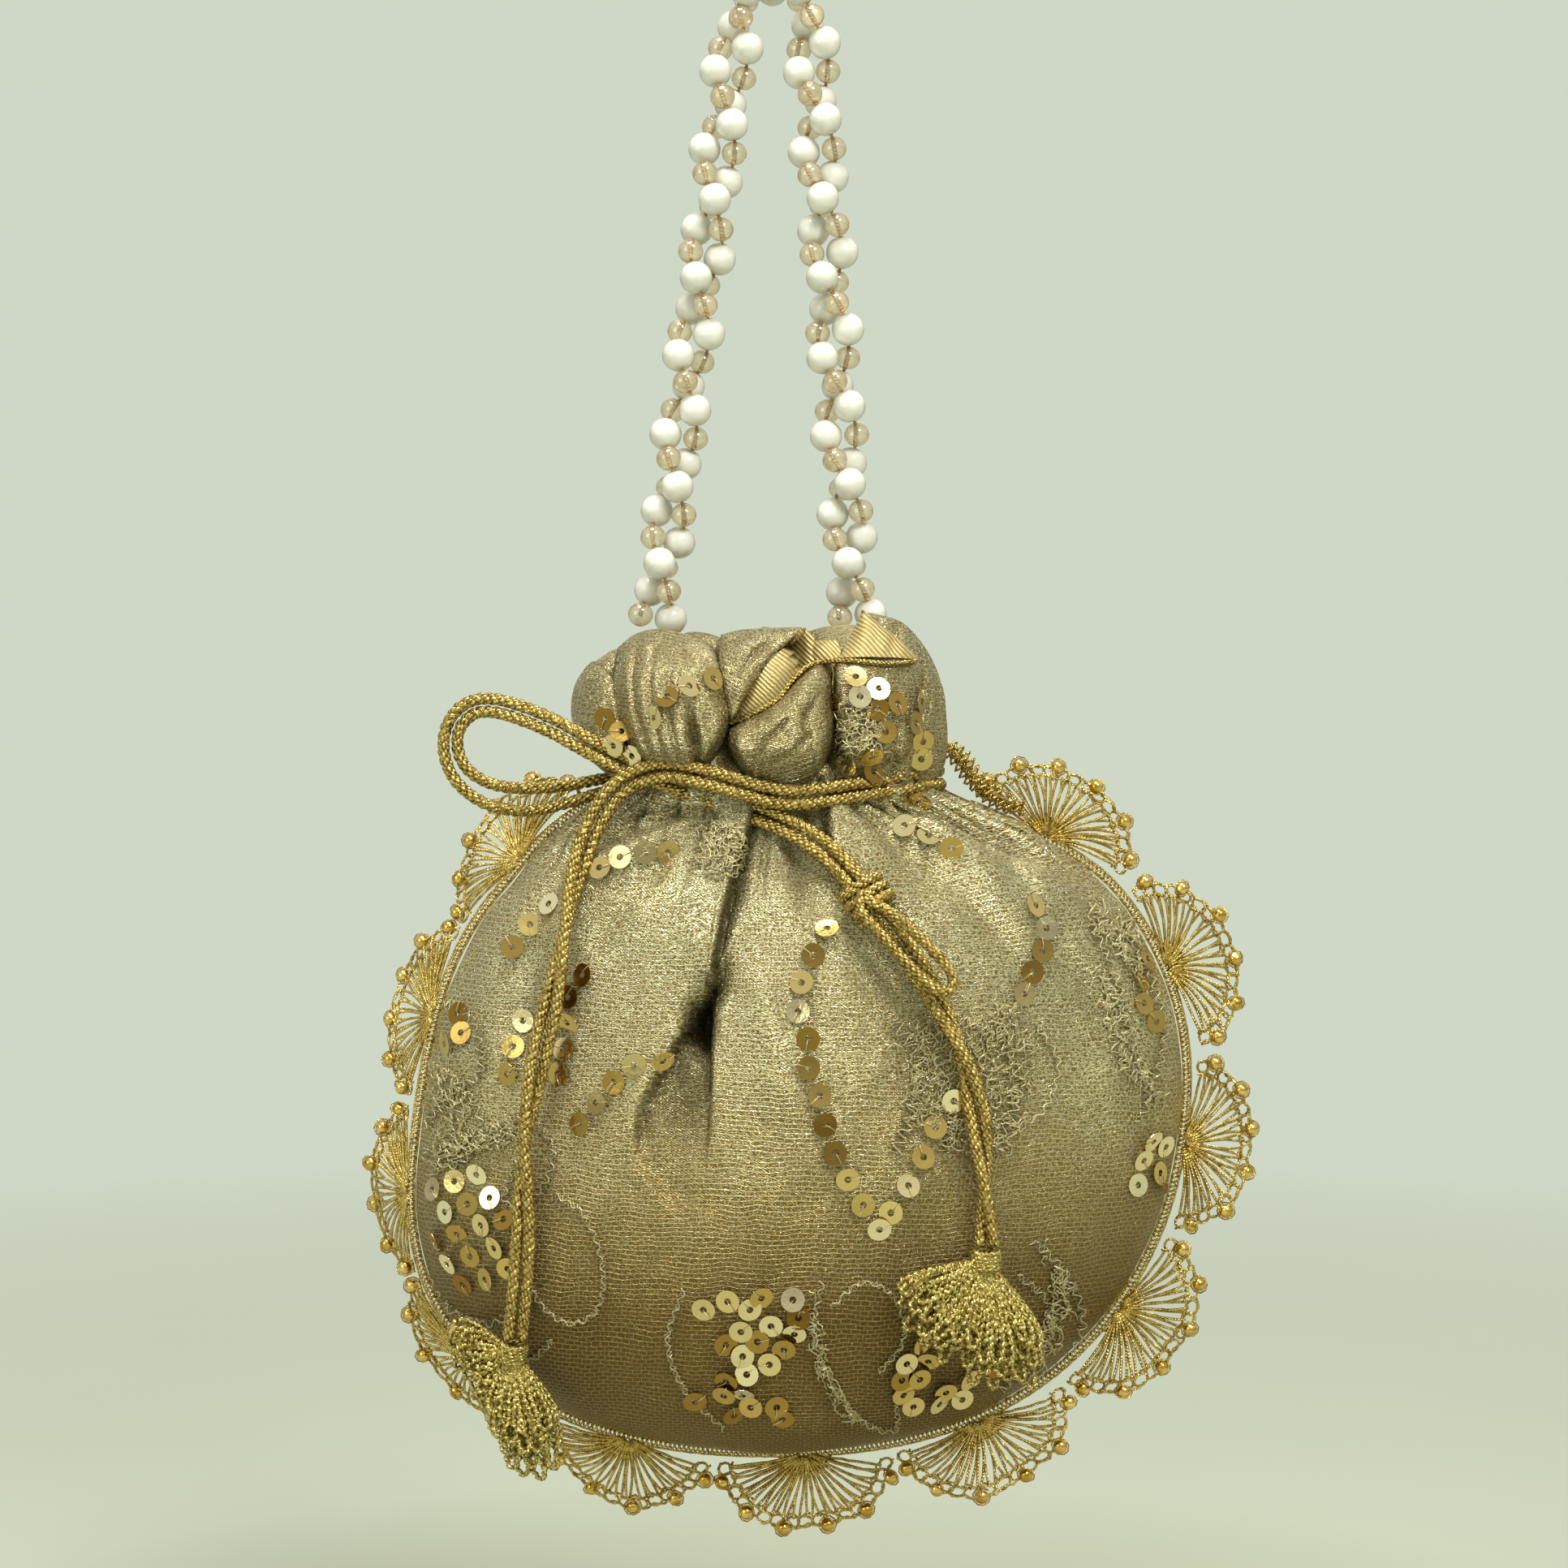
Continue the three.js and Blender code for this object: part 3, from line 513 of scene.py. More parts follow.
def body_section(z):
    """The middle, half width and half depth of the body at a height."""
    z = np.asarray(z, float)
    join = 6
    neck = (z > BELLY_Z) * 1.0
    share = round_share(z)
    half_width = ((BODY_WIDTH / 2 * share) ** join + (NECK_WIDTH / 2 * neck) ** join) ** (1 / join)
    half_depth = ((BODY_DEPTH / 2 * share**0.9) ** join + (NECK_DEPTH / 2 * neck) ** join) ** (1 / join)
    lean = smooth(BELLY_Z - 60, BELLY_Z + 30, z) * (1 - smooth(TIE_Z - 26, TIE_Z, z))
    return SHOULDER_SHIFT * lean, half_width, half_depth


def outline_height(angle):
    """The height of the outline's point at an angle, from the bottom up to the tie."""
    above = angle > 0
    reach = np.where(above, SHOULDER_HEIGHT, BELLY_HEIGHT)
    power = np.where(above, SHOULDER_ROUNDNESS, BELLY_ROUNDNESS)
    return BELLY_Z + np.sign(angle) * reach * np.abs(np.sin(angle)) ** (2 / power)


# Pleats round the neck: angle from the front's middle in degrees, depth and length in millimetres.
FRONT_PLEATS = [
    (-78, 2.2, 30), (-66, 2.6, 36), (-55, 3.0, 52), (-43, 2.4, 34), (-31, 2.2, 26), (-22, 1.8, 22),
    (-2, 1.6, 22),
    (6, 2.2, 30), (22, 3.2, 42), (32, 2.4, 30), (41, 2.8, 40), (51, 2.4, 34), (60, 3.0, 50), (70, 2.4, 36),
    (80, 2.0, 30),
]
BACK_PLEATS = [
    (-78, 2.2, 34), (-64, 3.0, 48), (-50, 2.6, 36), (-38, 4.2, 66), (-24, 2.4, 34), (-12, 2.6, 40),
    (2, 5.5, 76),
    (14, 2.4, 32), (25, 2.6, 42), (37, 4.4, 60), (50, 2.4, 36), (62, 3.0, 50), (74, 2.4, 34),
]

# The frill's valleys, as angles from the front's middle, and the lobes' own swell and rise.
FRILL_VALLEYS = [-158, -114, -57, -12, 23, 106, 150]
FRILL_SWELL = [1.0, 0.98, 1.02, 0.97, 1.03, 1.0, 0.98]
FRILL_RISE = [0.95, 0.97, 0.99, 1.03, 1.04, 0.96, 0.97]
VALLEY_WIDTH = 7.5  # degrees over which a valley closes to a third

CREST_SHARE = HANDLE_SPREAD / FRILL_WIDTH
FRILL_PROFILE = [
    (NECK_WIDTH / FRILL_WIDTH * 0.97, 0.0),
    (0.95, 0.16),
    (1.02, 0.42),
    (0.97, 0.74),
    (CREST_SHARE * 1.3, 0.97),
    (CREST_SHARE * 0.92, 0.985),
    (CREST_SHARE * 0.46, 0.72),
    (CREST_SHARE * 0.12, 0.6),
]


def from_front(share):
    """Angle in degrees from the front's middle, towards the right, for a share of a turn."""
    return (90 - np.asarray(share) * 360 + 180) % 360 - 180


def lobes(degrees):
    """How deep in a valley (0 to 1), and the lobe's own swell and rise, at an angle."""
    edges = np.array(FRILL_VALLEYS + [FRILL_VALLEYS[0] + 360], float)
    d = (np.asarray(degrees, float) - edges[0]) % 360 + edges[0]
    k = np.clip(np.searchsorted(edges, d, side="right") - 1, 0, len(edges) - 2)
    width = edges[k + 1] - edges[k]
    t = (d - edges[k]) / width
    depth = np.exp(-np.minimum(t, 1 - t) * width / VALLEY_WIDTH)
    middles = (edges[:-1] + edges[1:]) / 2
    turns = np.concatenate([middles - 360, middles, middles + 360])
    return depth, np.interp(d, turns, FRILL_SWELL * 3), np.interp(d, turns, FRILL_RISE * 3)


def frill_surface(along, share, profile):
    """A point of the frill, at a place along its profile (0 to 1) and round its turn."""
    at = profile[np.clip((along * (len(profile) - 1)).round().astype(int), 0, len(profile) - 1)]
    puff = smooth(0.02, 0.3, along)
    out = smooth(0.0, 0.16, along) * (1 - 0.55 * smooth(0.6, 1.0, along))
    valley, swell, rise = lobes(from_front(share))
    flatness = NECK_DEPTH / NECK_WIDTH + (FRILL_DEPTH / FRILL_WIDTH - NECK_DEPTH / NECK_WIDTH) * puff
    radius = FRILL_WIDTH / 2 * at[..., 0] * (1 + (swell - 1) * puff) * (1 - 0.42 * out * valley)
    stands = 1 + (rise - 1) * smooth(0.2, 0.6, along) - 0.2 * smooth(0.2, 0.57, along) * valley
    height = FRILL_HEIGHT * at[..., 1] * stands
    turn = TURN * share
    x = HANDLE_MIDDLE * smooth(0, 0.3, along) + radius * np.cos(turn)
    return np.stack([x, -radius * flatness * np.sin(turn), TIE_Z + height], -1)


def body_surface(z, share):
    """Points of the body at a height, for shares of a turn, with the pleats pressed in round the neck."""
    middle, half_width, half_depth = body_section(z)
    drop = TIE_Z - z
    c, s = np.cos(TURN * share), np.sin(TURN * share)
    pinch = 1 - 0.25 * (1 - np.abs(s)) * smooth(10, 60, drop)
    from_seam = smooth(0.03, 0.3, np.abs(s))
    degrees = from_front(share)
    front = np.abs(degrees) <= 90
    inset = 0
    from_back = (degrees + 360) % 360 - 180
    for pleats, here, angle in (FRONT_PLEATS, front, degrees), (BACK_PLEATS, ~front, from_back):
        for place, depth, length in pleats:
            width = 3.1 + 2.6 * smooth(0, length, drop)
            d = (angle - place) / width
            dip = 1.4 * depth * (np.exp(-(d**2)) - 0.3 * np.exp(-((d / 2.4) ** 2)))
            inset = inset + here * dip * (1 - smooth(length * 0.25, length, drop))
    radius = np.maximum(np.hypot(half_width * c, half_depth * s), 1)
    keep = 1 - np.minimum(0.6, inset * from_seam / radius)
    return np.stack([middle + half_width * c * keep, -half_depth * s * pinch * keep, z + 0 * share], -1)


# Folds of the front, as they lie in the view: points (x, z) at the handle's plane, then at its start,
# middle and end its width, its depth, and the height of the cloth on its left and on its right.
FOLDS = [
    # soft swells of the middle panel
    ([(-3, -244), (0, -258), (5, -274), (12, -288)], (5, 6, 6), (-1.4, -2.0, -0.4), (0, 0, 0), (0, 0, 0)),
    ([(7, -230), (15, -242), (26, -254)], (6, 7, 7), (-1.0, -1.6, 0), (0, 0, 0), (0, 0, 0)),
    ([(4, -208), (9, -219), (12, -230)], (2.6, 3.4, 4), (2.6, 2.2, 0), (0.8, 0.6, 0), (0.8, 0.8, 0)),
    ([(-1, -203), (-2.6, -214), (-3.6, -228)], (1.0, 1.2, 1.4), (0.8, 0.7, 0), (0.3, 0.3, 0),
     (0.3, 0.3, 0)),
    # shoulder folds on the right
    ([(33, -198), (48.1, -204.4), (61.2, -211.3), (73.6, -215.4), (84, -222)], (1.6, 2.4, 3), (3, 2.8, 0),
     (1.2, 1.6, 0), (1.6, 1.4, 0)),
    ([(26, -199), (37.8, -202.6), (50.9, -207.8), (61.2, -218.2), (64.5, -226)], (1.2, 1.5, 2),
     (2.4, 2.0, 0), (1.2, 1.2, 0), (1.0, 1.0, 0)),
    ([(22, -199), (34, -210), (50, -224), (60, -238), (64, -254)], (3, 4, 6), (1.6, 1.4, 0), (1.0, 1.0, 0),
     (1.0, 1.0, 0)),
    ([(70, -232), (78, -246), (80, -262)], (5, 6, 6), (1.4, 1.6, 0), (0.8, 0.8, 0), (0.8, 0.8, 0)),
    # left shoulder
    ([(-20, -201), (-34, -205), (-48, -210), (-60, -217)], (1.6, 2.4, 3.2), (3, 2.4, 0), (1.8, 1.4, 0),
     (1.2, 1, 0)),
    ([(-16, -202), (-27, -213), (-38, -224), (-47, -240)], (2.4, 4, 6), (1.8, 1.2, 0), (1.2, 1, 0),
     (1, 1, 0)),
    ([(-14, -202), (-20, -212), (-24, -224)], (1.2, 1.6, 2), (1.6, 1.0, 0), (0.6, 0.4, 0), (0.6, 0.4, 0)),
    ([(-58, -236), (-62, -252), (-60, -270)], (6, 7, 7), (1.2, 1.6, 0), (0.8, 0.8, 0), (0.8, 0.8, 0)),
    # ribs down the left lobe of the frill, and a tuck low on its right
    ([(-36.6, -158), (-38.4, -167), (-36.6, -179), (-32, -189)], (0.8, 1.0, 1.0), (0.9, 1.3, 1.0),
     (0.6, 0.7, 0.4), (0.6, 0.7, 0.4)),
    ([(-33.4, -158), (-34.8, -168), (-32.6, -180), (-28.6, -190)], (0.7, 0.8, 0.8), (0.6, 1.0, 0.8),
     (0.4, 0.6, 0.3), (0.4, 0.6, 0.3)),
    ([(-29.6, -160), (-30.6, -170), (-28.8, -181), (-25, -191)], (0.7, 0.8, 0.8), (0.4, 0.8, 0.8),
     (0.3, 0.5, 0.3), (0.3, 0.5, 0.3)),
    ([(-25.6, -166), (-26, -174), (-24.4, -183), (-21.6, -191)], (0.7, 0.8, 0.8), (0.3, 0.7, 0.8),
     (0.3, 0.4, 0.3), (0.3, 0.4, 0.3)),
    ([(-20.6, -174.6), (-19.6, -181), (-18.4, -190)], (1.0, 1.3, 1.5), (1.0, 2.8, 3.2), (0.5, 1.2, 1.0),
     (0.5, 1.2, 1.0)),
    # creases of the middle lobe and of its flap
    ([(3, -177.4), (0, -181), (-4, -183.4)], (0.7, 0.8, 0.8), (0.6, 0.9, 0), (0.3, 0.5, 0), (0.3, 0.5, 0)),
    ([(9, -181), (4, -186), (-3, -188.6)], (0.8, 1.0, 0.9), (0.6, 1.1, 0), (0.4, 0.6, 0), (0.4, 0.6, 0)),
    ([(11, -172), (8, -177), (9, -184)], (0.8, 0.9, 0.9), (0.4, 0.8, 0), (0.3, 0.5, 0), (0.3, 0.5, 0)),
    ([(-1, -158), (-5.4, -162), (-8.4, -167.6)], (0.8, 1.0, 1.0), (0.5, 1.0, 0.4), (0.3, 0.5, 0.2),
     (0.3, 0.5, 0.2)),
    ([(-7, -192), (-4, -186), (-2, -182)], (0.7, 0.8, 0.8), (1.0, 0.7, 0), (0.4, 0.3, 0), (0.4, 0.3, 0)),
    # right lobe: below the satin, and the wraps on its right
    ([(35.6, -157), (37, -166), (36, -178), (33, -190)], (0.9, 1.1, 1.2), (0.8, 1.4, 1.4), (0.4, 0.7, 0.6),
     (0.4, 0.7, 0.6)),
    ([(31, -178), (30.4, -184), (28.6, -191)], (0.8, 1.0, 1.1), (0.3, 1.2, 1.6), (0.3, 0.6, 0.6),
     (0.3, 0.6, 0.6)),
    ([(39, -166), (40, -174), (38.6, -184)], (0.7, 0.8, 0.8), (0.5, 0.9, 0.5), (0.3, 0.4, 0.2),
     (0.3, 0.4, 0.2)),
]

# Overlaps: the cloth on one side of a line stands up in a roll, and that on the other side runs in under
# it. Points, then for the left and for the right the height at its start, middle and end, and how far it
# reaches.
OVERLAPS = [
    # the left puff over the middle panel
    ([(-4.6, -197), (-5.5, -205), (-7.9, -213), (-11, -223.5), (-13.1, -234.6), (-15.4, -244.5)],
     (2.0, 3.4, 2.6), 9, (-2.8, -4.2, -4.2), 3.2),
    # its edge goes on round the pocket
    ([(-15.2, -243), (-19, -250.4), (-23, -256.6), (-26.4, -262.6), (-30.4, -269), (-33.6, -278),
      (-31.6, -287), (-27, -294.4),
      (-21.6, -298), (-16.6, -295)], (2.6, 2.4, 0.0), 7, (-4.2, -2.4, -0.2), 5.5),
    # the middle panel's edge, the pocket's other side
    ([(-15.4, -243), (-16.2, -252), (-15.9, -262), (-16.2, -275), (-17, -288)], (-4.4, -2.6, -0.1),
     3.6, (2.4, 2.2, 0.2), 8),
    # the right puff, over the cloth below it
    ([(12.4, -198), (14, -206), (17, -213.5), (23.4, -220), (33, -226)], (-3.0, -2.2, 0),
     4, (1.8, 2.4, 0.2), 9),
    # a narrow pleat on the left shoulder
    ([(-24, -200), (-36, -203.4), (-50, -206), (-62, -213)], (-2.0, -1.6, 0), 3, (1.4, 1.4, 0), 6),
]
# Painted shade along sharp creases, where the cloth turns in out of the light: points, half width and how
# dark.
PAINTED_SHADE_LINES = [
    (OVERLAPS[0][0], 1.3, 0.9),
    ([(-16.2, -246), (-20, -252.4), (-24, -258.6), (-27.6, -265), (-31.4, -272)], 1.3, 0.75),
    ([(-15.4, -243), (-16.2, -252), (-15.9, -262), (-16.2, -272)], 1.2, 0.9),
    (OVERLAPS[3][0], 1.3, 0.7),
    ([(-24, -200), (-36, -203.4), (-48, -206)], 1.1, 0.5),
    ([(-1, -199), (-2.6, -208), (-3.2, -216)], 0.9, 0.5),
    ([(30, -199), (48.1, -204.4), (61.2, -211.3)], 1.1, 0.5),
]
# Hollows: middle (x, z), half width, half height and depth.
HOLLOWS = [(-18.6, -252.4, 2.8, 5.8, 9.0), (-22.4, -274, 6.5, 13, 3.0)]


def seen_from_eye(points):
    """Where points show in the view, as (x, z) at the handle's plane."""
    reach = -EYE[1] / (points[..., 1] - EYE[1])
    return np.stack([EYE[i] + (points[..., i] - EYE[i]) * reach for i in (0, 2)], -1)


def beside(seen, line):
    """For each place: how far it is from a line, whether it is on its right, and how far along the line."""
    best = np.full(len(seen), 1e9)
    right = np.zeros(len(seen), bool)
    place = np.zeros(len(seen))
    for k in range(len(line) - 1):
        a, way = line[k], line[k + 1] - line[k]
        t = np.clip(((seen - a) @ way) / (way @ way), 0, 1)
        off = seen - (a + t[:, None] * way)
        d = np.linalg.norm(off, axis=1)
        near = d < best
        best[near] = d[near]
        right[near] = (way[0] * off[:, 1] - way[1] * off[:, 0] > 0)[near]
        place[near] = ((k + t) / (len(line) - 1))[near]
    return best, right, place


def between(place, values):
    """A value that is given at a line's start, middle and end, at places along it."""
    return np.interp(place, [0, 0.5, 1], values)


def fold_height(seen):
    """How far folds, overlaps and hollows lift the cloth at places of the view."""
    total = np.zeros(len(seen))
    for points, widths, depths, lefts, rights in FOLDS:
        away, right, place = beside(seen, spline(points, 28))
        width = between(place, widths)
        ridge = np.where(right, between(place, rights), between(place, lefts))
        t = away / (2.6 * width)
        valley = -between(place, depths) * np.exp(-((away / width) ** 2))
        total += valley + ridge * t * np.exp(1 - t) * (t < 8)
    for points, lefts, left_reach, rights, right_reach in OVERLAPS:
        away, right, place = beside(seen, spline(points, 44))
        height = np.where(right, between(place, rights), between(place, lefts))
        reach = np.where(right, right_reach, left_reach)
        roll = np.where(height > 0, np.sqrt(np.minimum(1, away / 1.4)), 1)
        total += height * roll * np.exp(-away / reach)
    for x, z, wide, tall, depth in HOLLOWS:
        total -= depth * np.exp(-(((seen[:, 0] - x) / wide) ** 2) - ((seen[:, 1] - z) / tall) ** 2)
    return total


FRONT_COLUMNS, BACK_COLUMNS = 214, 96
BODY_ROWS, FRILL_ROWS = 150, 60
FRILL_LINE = spline(FRILL_PROFILE, 2001)


def cloth_columns():
    """Shares of a turn, closer together in front where the long fold and its pocket are."""
    even = np.linspace(0, 0.5, 2001)
    crowding = 1 + 2.4 * np.exp(-(((from_front(even) + 16) / 14) ** 2))
    so_far = np.concatenate([[0], np.cumsum((crowding[1:] + crowding[:-1]) / 2)])
    front = np.interp(np.linspace(0, so_far[-1], FRONT_COLUMNS, endpoint=False), so_far, even)
    return np.concatenate([front, np.linspace(0.5, 1, BACK_COLUMNS, endpoint=False)])


def cloth_grid(shares, heights):
    """The plain form without folds: rows up the body, then over the frill into the mouth."""
    rows = [body_surface(z, shares) for z in heights]
    for along in np.linspace(0.012, 1, FRILL_ROWS):
        rows.append(frill_surface(np.full(len(shares), along), shares, FRILL_LINE))
    return np.array(rows)


def cloth_threads(grid, shares, heights):
    """Where each point lies among the cloth's threads: across by length round the widest level, then up."""
    ring = body_surface(BELLY_Z, shares)
    step = np.linalg.norm(np.roll(ring, -1, axis=0) - ring, axis=1)
    run = np.concatenate([[0], np.cumsum(step)[:-1]])
    half = run[FRONT_COLUMNS]
    across = np.where(shares < 0.5, half / 2 - run, (run - half) / (step.sum() - half) * half - half / 2)
    _, half_width, _ = body_section(heights)
    narrow = np.where(heights < BELLY_Z, half_width / (BODY_WIDTH / 2), 1)
    narrow = np.concatenate([narrow, np.ones(FRILL_ROWS)])
    up = run_along(grid[:, int(np.argmin(np.abs(shares - 0.25)))])
    uv = np.stack([narrow[:, None] * across[None], np.repeat(up[:, None], len(shares), 1)], -1)
    return np.vstack([uv.reshape(-1, 2), [[0, -2]], [[0, up[-1] + 2]]])


def grid_normals(grid):
    du = np.roll(grid, -1, axis=1) - np.roll(grid, 1, axis=1)
    dv = np.gradient(grid, axis=0)
    return unit(np.cross(dv, du)).reshape(-1, 3)


def painted_crease_shade(seen, lift):
    """Painted shade: how dark the cloth is painted where it turns in out of the light and where folds sink
    in, from 0 to 1.
    """
    painted_shade = np.clip((-lift - 0.5) / 5, 0, 1)
    for points, wide, deep in PAINTED_SHADE_LINES:
        away, _, place = beside(seen, spline(points, 44))
        ends = np.interp(place, [0, 0.12, 0.88, 1], [0.5, 1, 1, 0.15])
        painted_shade = np.maximum(painted_shade, deep * ends * smooth(wide, wide * 0.3, away))
    return painted_shade


def small_waves(points):
    """Small wrinkles of the stuffed cloth, strongest below the tie."""
    wave = np.zeros(len(points))
    for _ in range(22):
        way = unit(rng.normal(size=3) * np.array([1.0, 0.6, 0.55]))
        length = rng.uniform(11, 34)
        wave += np.sin(points @ way * TURN / length + rng.uniform(0, TURN)) * length / 240
    drop = TIE_Z - points[:, 2]
    calm = 0.55 + 0.6 * (1 - smooth(20, 95, drop)) - 0.35 * smooth(110, 160, drop)
    return wave * calm * (0.35 + 0.65 * (drop > 0))


def build_cloth():
    """Body and frill in one skin: its points, quads, end caps, place among the threads, and painted crease
    shade.
    """
    shares = cloth_columns()
    count = len(shares)
    heights = outline_height(np.linspace(-0.4985, 0.4995, BODY_ROWS) * math.pi)
    grid = cloth_grid(shares, heights)
    uv = cloth_threads(grid, shares, heights)
    flat, n = grid.reshape(-1, 3), grid_normals(grid)
    if ((flat - flat.mean(0)) * n).sum(1).mean() < 0:
        n = -n
    front = flat[:, 1] < 0
    seen = seen_from_eye(flat[front])
    lift, painted_shade = np.zeros(len(flat)), np.zeros(len(flat) + 2)
    lift[front] = fold_height(seen) * smooth(0.12, 0.4, -n[front][:, 1])
    painted_shade[np.nonzero(front)[0]] = painted_crease_shade(seen, lift[front])
    lift += small_waves(flat)
    flat = flat + n * lift[:, None]
    bottom, middle = len(flat), len(flat) + 1
    points = np.vstack([flat, [[0, 0, BOTTOM_Z]], [[HANDLE_MIDDLE, 0, TIE_Z + FRILL_HEIGHT * 0.58]]])
    i = np.arange(count)
    j = (i + 1) % count
    top = (len(grid) - 1) * count
    caps = [[bottom, int(a), int(b)] for a, b in zip(i, j)]
    caps += [[middle, int(top + b), int(top + a)] for a, b in zip(i, j)]
    return points, ring_faces(len(grid), count), caps, uv, painted_shade


cloth_points, cloth_quads, cloth_caps, cloth_uv, cloth_painted_shade = build_cloth()

# The lobes that the gathered frill shows in front. Each is an outline (x, z) in the view, its middle, how
# far it swells, how far its edge sits in from the frill's round, and the turn of its threads in degrees.
FRONT_LOBES = [
    # a narrow lobe at the far left
    ([(-41, -165), (-44.6, -163), (-48.4, -168), (-49.8, -176), (-48, -184), (-43, -189), (-38, -190),
      (-35, -180), (-37, -170)],
     (-42.5, -177), 4.2, 1.0, 12),
    # the left lobe, under the handle's left leg
    ([(-38.4, -159.6), (-34.4, -156.4), (-29, -155), (-22.6, -156), (-16.8, -158), (-13.8, -161.4),
      (-12.6, -166.4),
      (-11.4, -171.6), (-10.2, -176), (-11.6, -182), (-14.6, -187.6), (-18, -191), (-24, -192.4),
      (-30, -191), (-35, -186),
      (-38.4, -178.6), (-39.8, -170.6), (-39.4, -164.4)],
     (-25.6, -173), 7.4, 0.0, 8),
    # the flap at the top of the middle lobe
    ([(-13, -156.4), (-8.4, -155.2), (-2, -154.8), (6.8, -154.6), (7.2, -156), (2.6, -160), (-1.4, -164.2),
      (-4.8, -169),
      (-7.6, -174), (-10.4, -178.6), (-11.6, -174.4), (-12.8, -168.6), (-13.8, -162)],
     (-5.4, -162.4), 4.6, -0.6, 24),
    # the middle lobe, under the piping
    ([(-11, -179.6), (-4.6, -175.8), (1.4, -171.8), (6.6, -166.8), (11, -163.8), (14, -166.2),
      (14.6, -172.4), (15, -180),
      (13.8, -186), (11.6, -190.4), (8.6, -194), (3, -195.6), (-3.4, -195.2), (-7.4, -191.4),
      (-10.2, -186.4), (-11.4, -183)],
     (2.6, -180.6), 7.6, -0.8, -14),
    # the right lobe, round the turned-out lining
    ([(14.8, -164.6), (16.6, -160.6), (19.4, -155.8), (22.2, -151.4), (26.6, -151.6), (32.6, -154),
      (38.4, -161.2),
      (41.6, -170), (40.8, -179.8), (38.6, -186), (34, -190.6), (27, -192.4), (20, -192.4), (16.2, -189.6),
      (15.2, -182),
      (14.8, -173)],
     (27.6, -174), 6.4, 0.2, -6),
]


def frill_depth(x, z):
    """How far in front of the seam's plane the frill's round stands at a place of the view."""
    puff = smooth(0, 9, z - TIE_Z)
    half_width = NECK_WIDTH / 2 + (FRILL_WIDTH / 2 + 1.5 - NECK_WIDTH / 2) * puff
    across = np.clip((x - HANDLE_MIDDLE) / half_width, -1, 1)
    reach = NECK_DEPTH / 2 - 1.5 + (FRILL_DEPTH / 2 - 3.5 - NECK_DEPTH / 2) * puff
    crest = 1 - 0.3 * smooth(-168, -154, z)
    return reach * crest * np.sqrt(1 - across**2)


def in_space(seen, depth):
    """The points at a depth behind the handle's plane that show at (x, z) in the view."""
    share = ((depth - EYE[1]) / -EYE[1])[:, None]
    flat = EYE[[0, 2]] + (seen - EYE[[0, 2]]) * share
    return np.stack([flat[:, 0], depth, flat[:, 1]], 1)


LOBE_SECTORS, LOBE_RINGS = 118, 40
TUCKED_ROWS = [(0.05, 1.6), (0.16, 4.5)]  # how far the rim turns in, as a share, and back


def lobe_shade(seen, share, folded):
    """Painted shade: dark in a lobe's folds and along its rim, but not where the rim is the frill's own
    outline.
    """
    below_top = smooth(-157.5, -162, seen[:, 1])
    off_sides = smooth(44, 38, np.abs(seen[:, 0] + 3))
    rim = 0.85 * smooth(0.93, 1.0, share) * below_top * off_sides
    return np.maximum(np.clip(-folded / 2.6, 0, 0.8), rim)


def lobe_dome(outline, middle, swell, sunk, turned_by):
    """One lobe as a dome of cloth whose rim is tucked behind its neighbours."""
    edge = spline(outline + outline[:1], LOBE_SECTORS + 1)[:-1]
    middle = np.array(middle, float)
    ways = edge - middle
    size = np.linalg.norm(ways, axis=1).mean()
    rows, shares = [middle[None]], [np.zeros(1)]
    for r in range(1, LOBE_RINGS + 1):
        share = math.sin(0.5 * math.pi * r / LOBE_RINGS)
        rows.append(middle + ways * share)
        shares.append(np.full(LOBE_SECTORS, share))
    seen, share = np.vstack(rows), np.concatenate(shares)
    lift = swell * np.sqrt(np.clip(1 - share**2.6, 0, 1)) - sunk
    wrinkles = np.zeros(len(seen))
    for _ in range(7):
        way = unit(rng.normal(size=2) * [1.0, 0.35])
        wrinkles += np.sin(seen @ way * TURN / rng.uniform(4.5, 11) + rng.uniform(0, TURN)) * 0.13
    inner = np.clip((1 - share) * 6, 0, 1)
    folded = fold_height(seen) * inner
    lift += wrinkles * inner + folded
    painted_shade = lobe_shade(seen, share, folded)
    points = in_space(seen, -(frill_depth(seen[:, 0], seen[:, 1]) + lift))
    rim = points[-LOBE_SECTORS:]
    centre = np.array([middle[0], 0.0, middle[1]])
    for inward, back in TUCKED_ROWS:
        points = np.vstack([points, rim + (centre - rim) * [inward, 0, inward] + [0, back, 0]])
        seen = np.vstack([seen, edge + (middle - edge) * inward])
    tucked = np.ones(len(TUCKED_ROWS) * LOBE_SECTORS)
    local = (seen - middle) * (1 + 0.12 * np.concatenate([share, tucked]) ** 2)[:, None]
    c, sine = math.cos(math.radians(turned_by)), math.sin(math.radians(turned_by))
    uv = np.stack([local[:, 0] * c - local[:, 1] * sine, local[:, 0] * sine + local[:, 1] * c], 1)
    quads = ring_faces(LOBE_RINGS + len(TUCKED_ROWS), LOBE_SECTORS, first=1)
    i = np.arange(LOBE_SECTORS)
    fan = [[0, int(1 + a), int(1 + b)] for a, b in zip(i, (i + 1) % LOBE_SECTORS)]
    after = np.roll(edge, -1, axis=0)
    if (edge[:, 0] * after[:, 1] - edge[:, 1] * after[:, 0]).sum() < 0:
        quads, fan = quads[:, ::-1], [f[::-1] for f in fan]
    # the tucked rows are painted in full shade
    return points, quads, fan, uv + size * 10, np.concatenate([painted_shade, tucked])


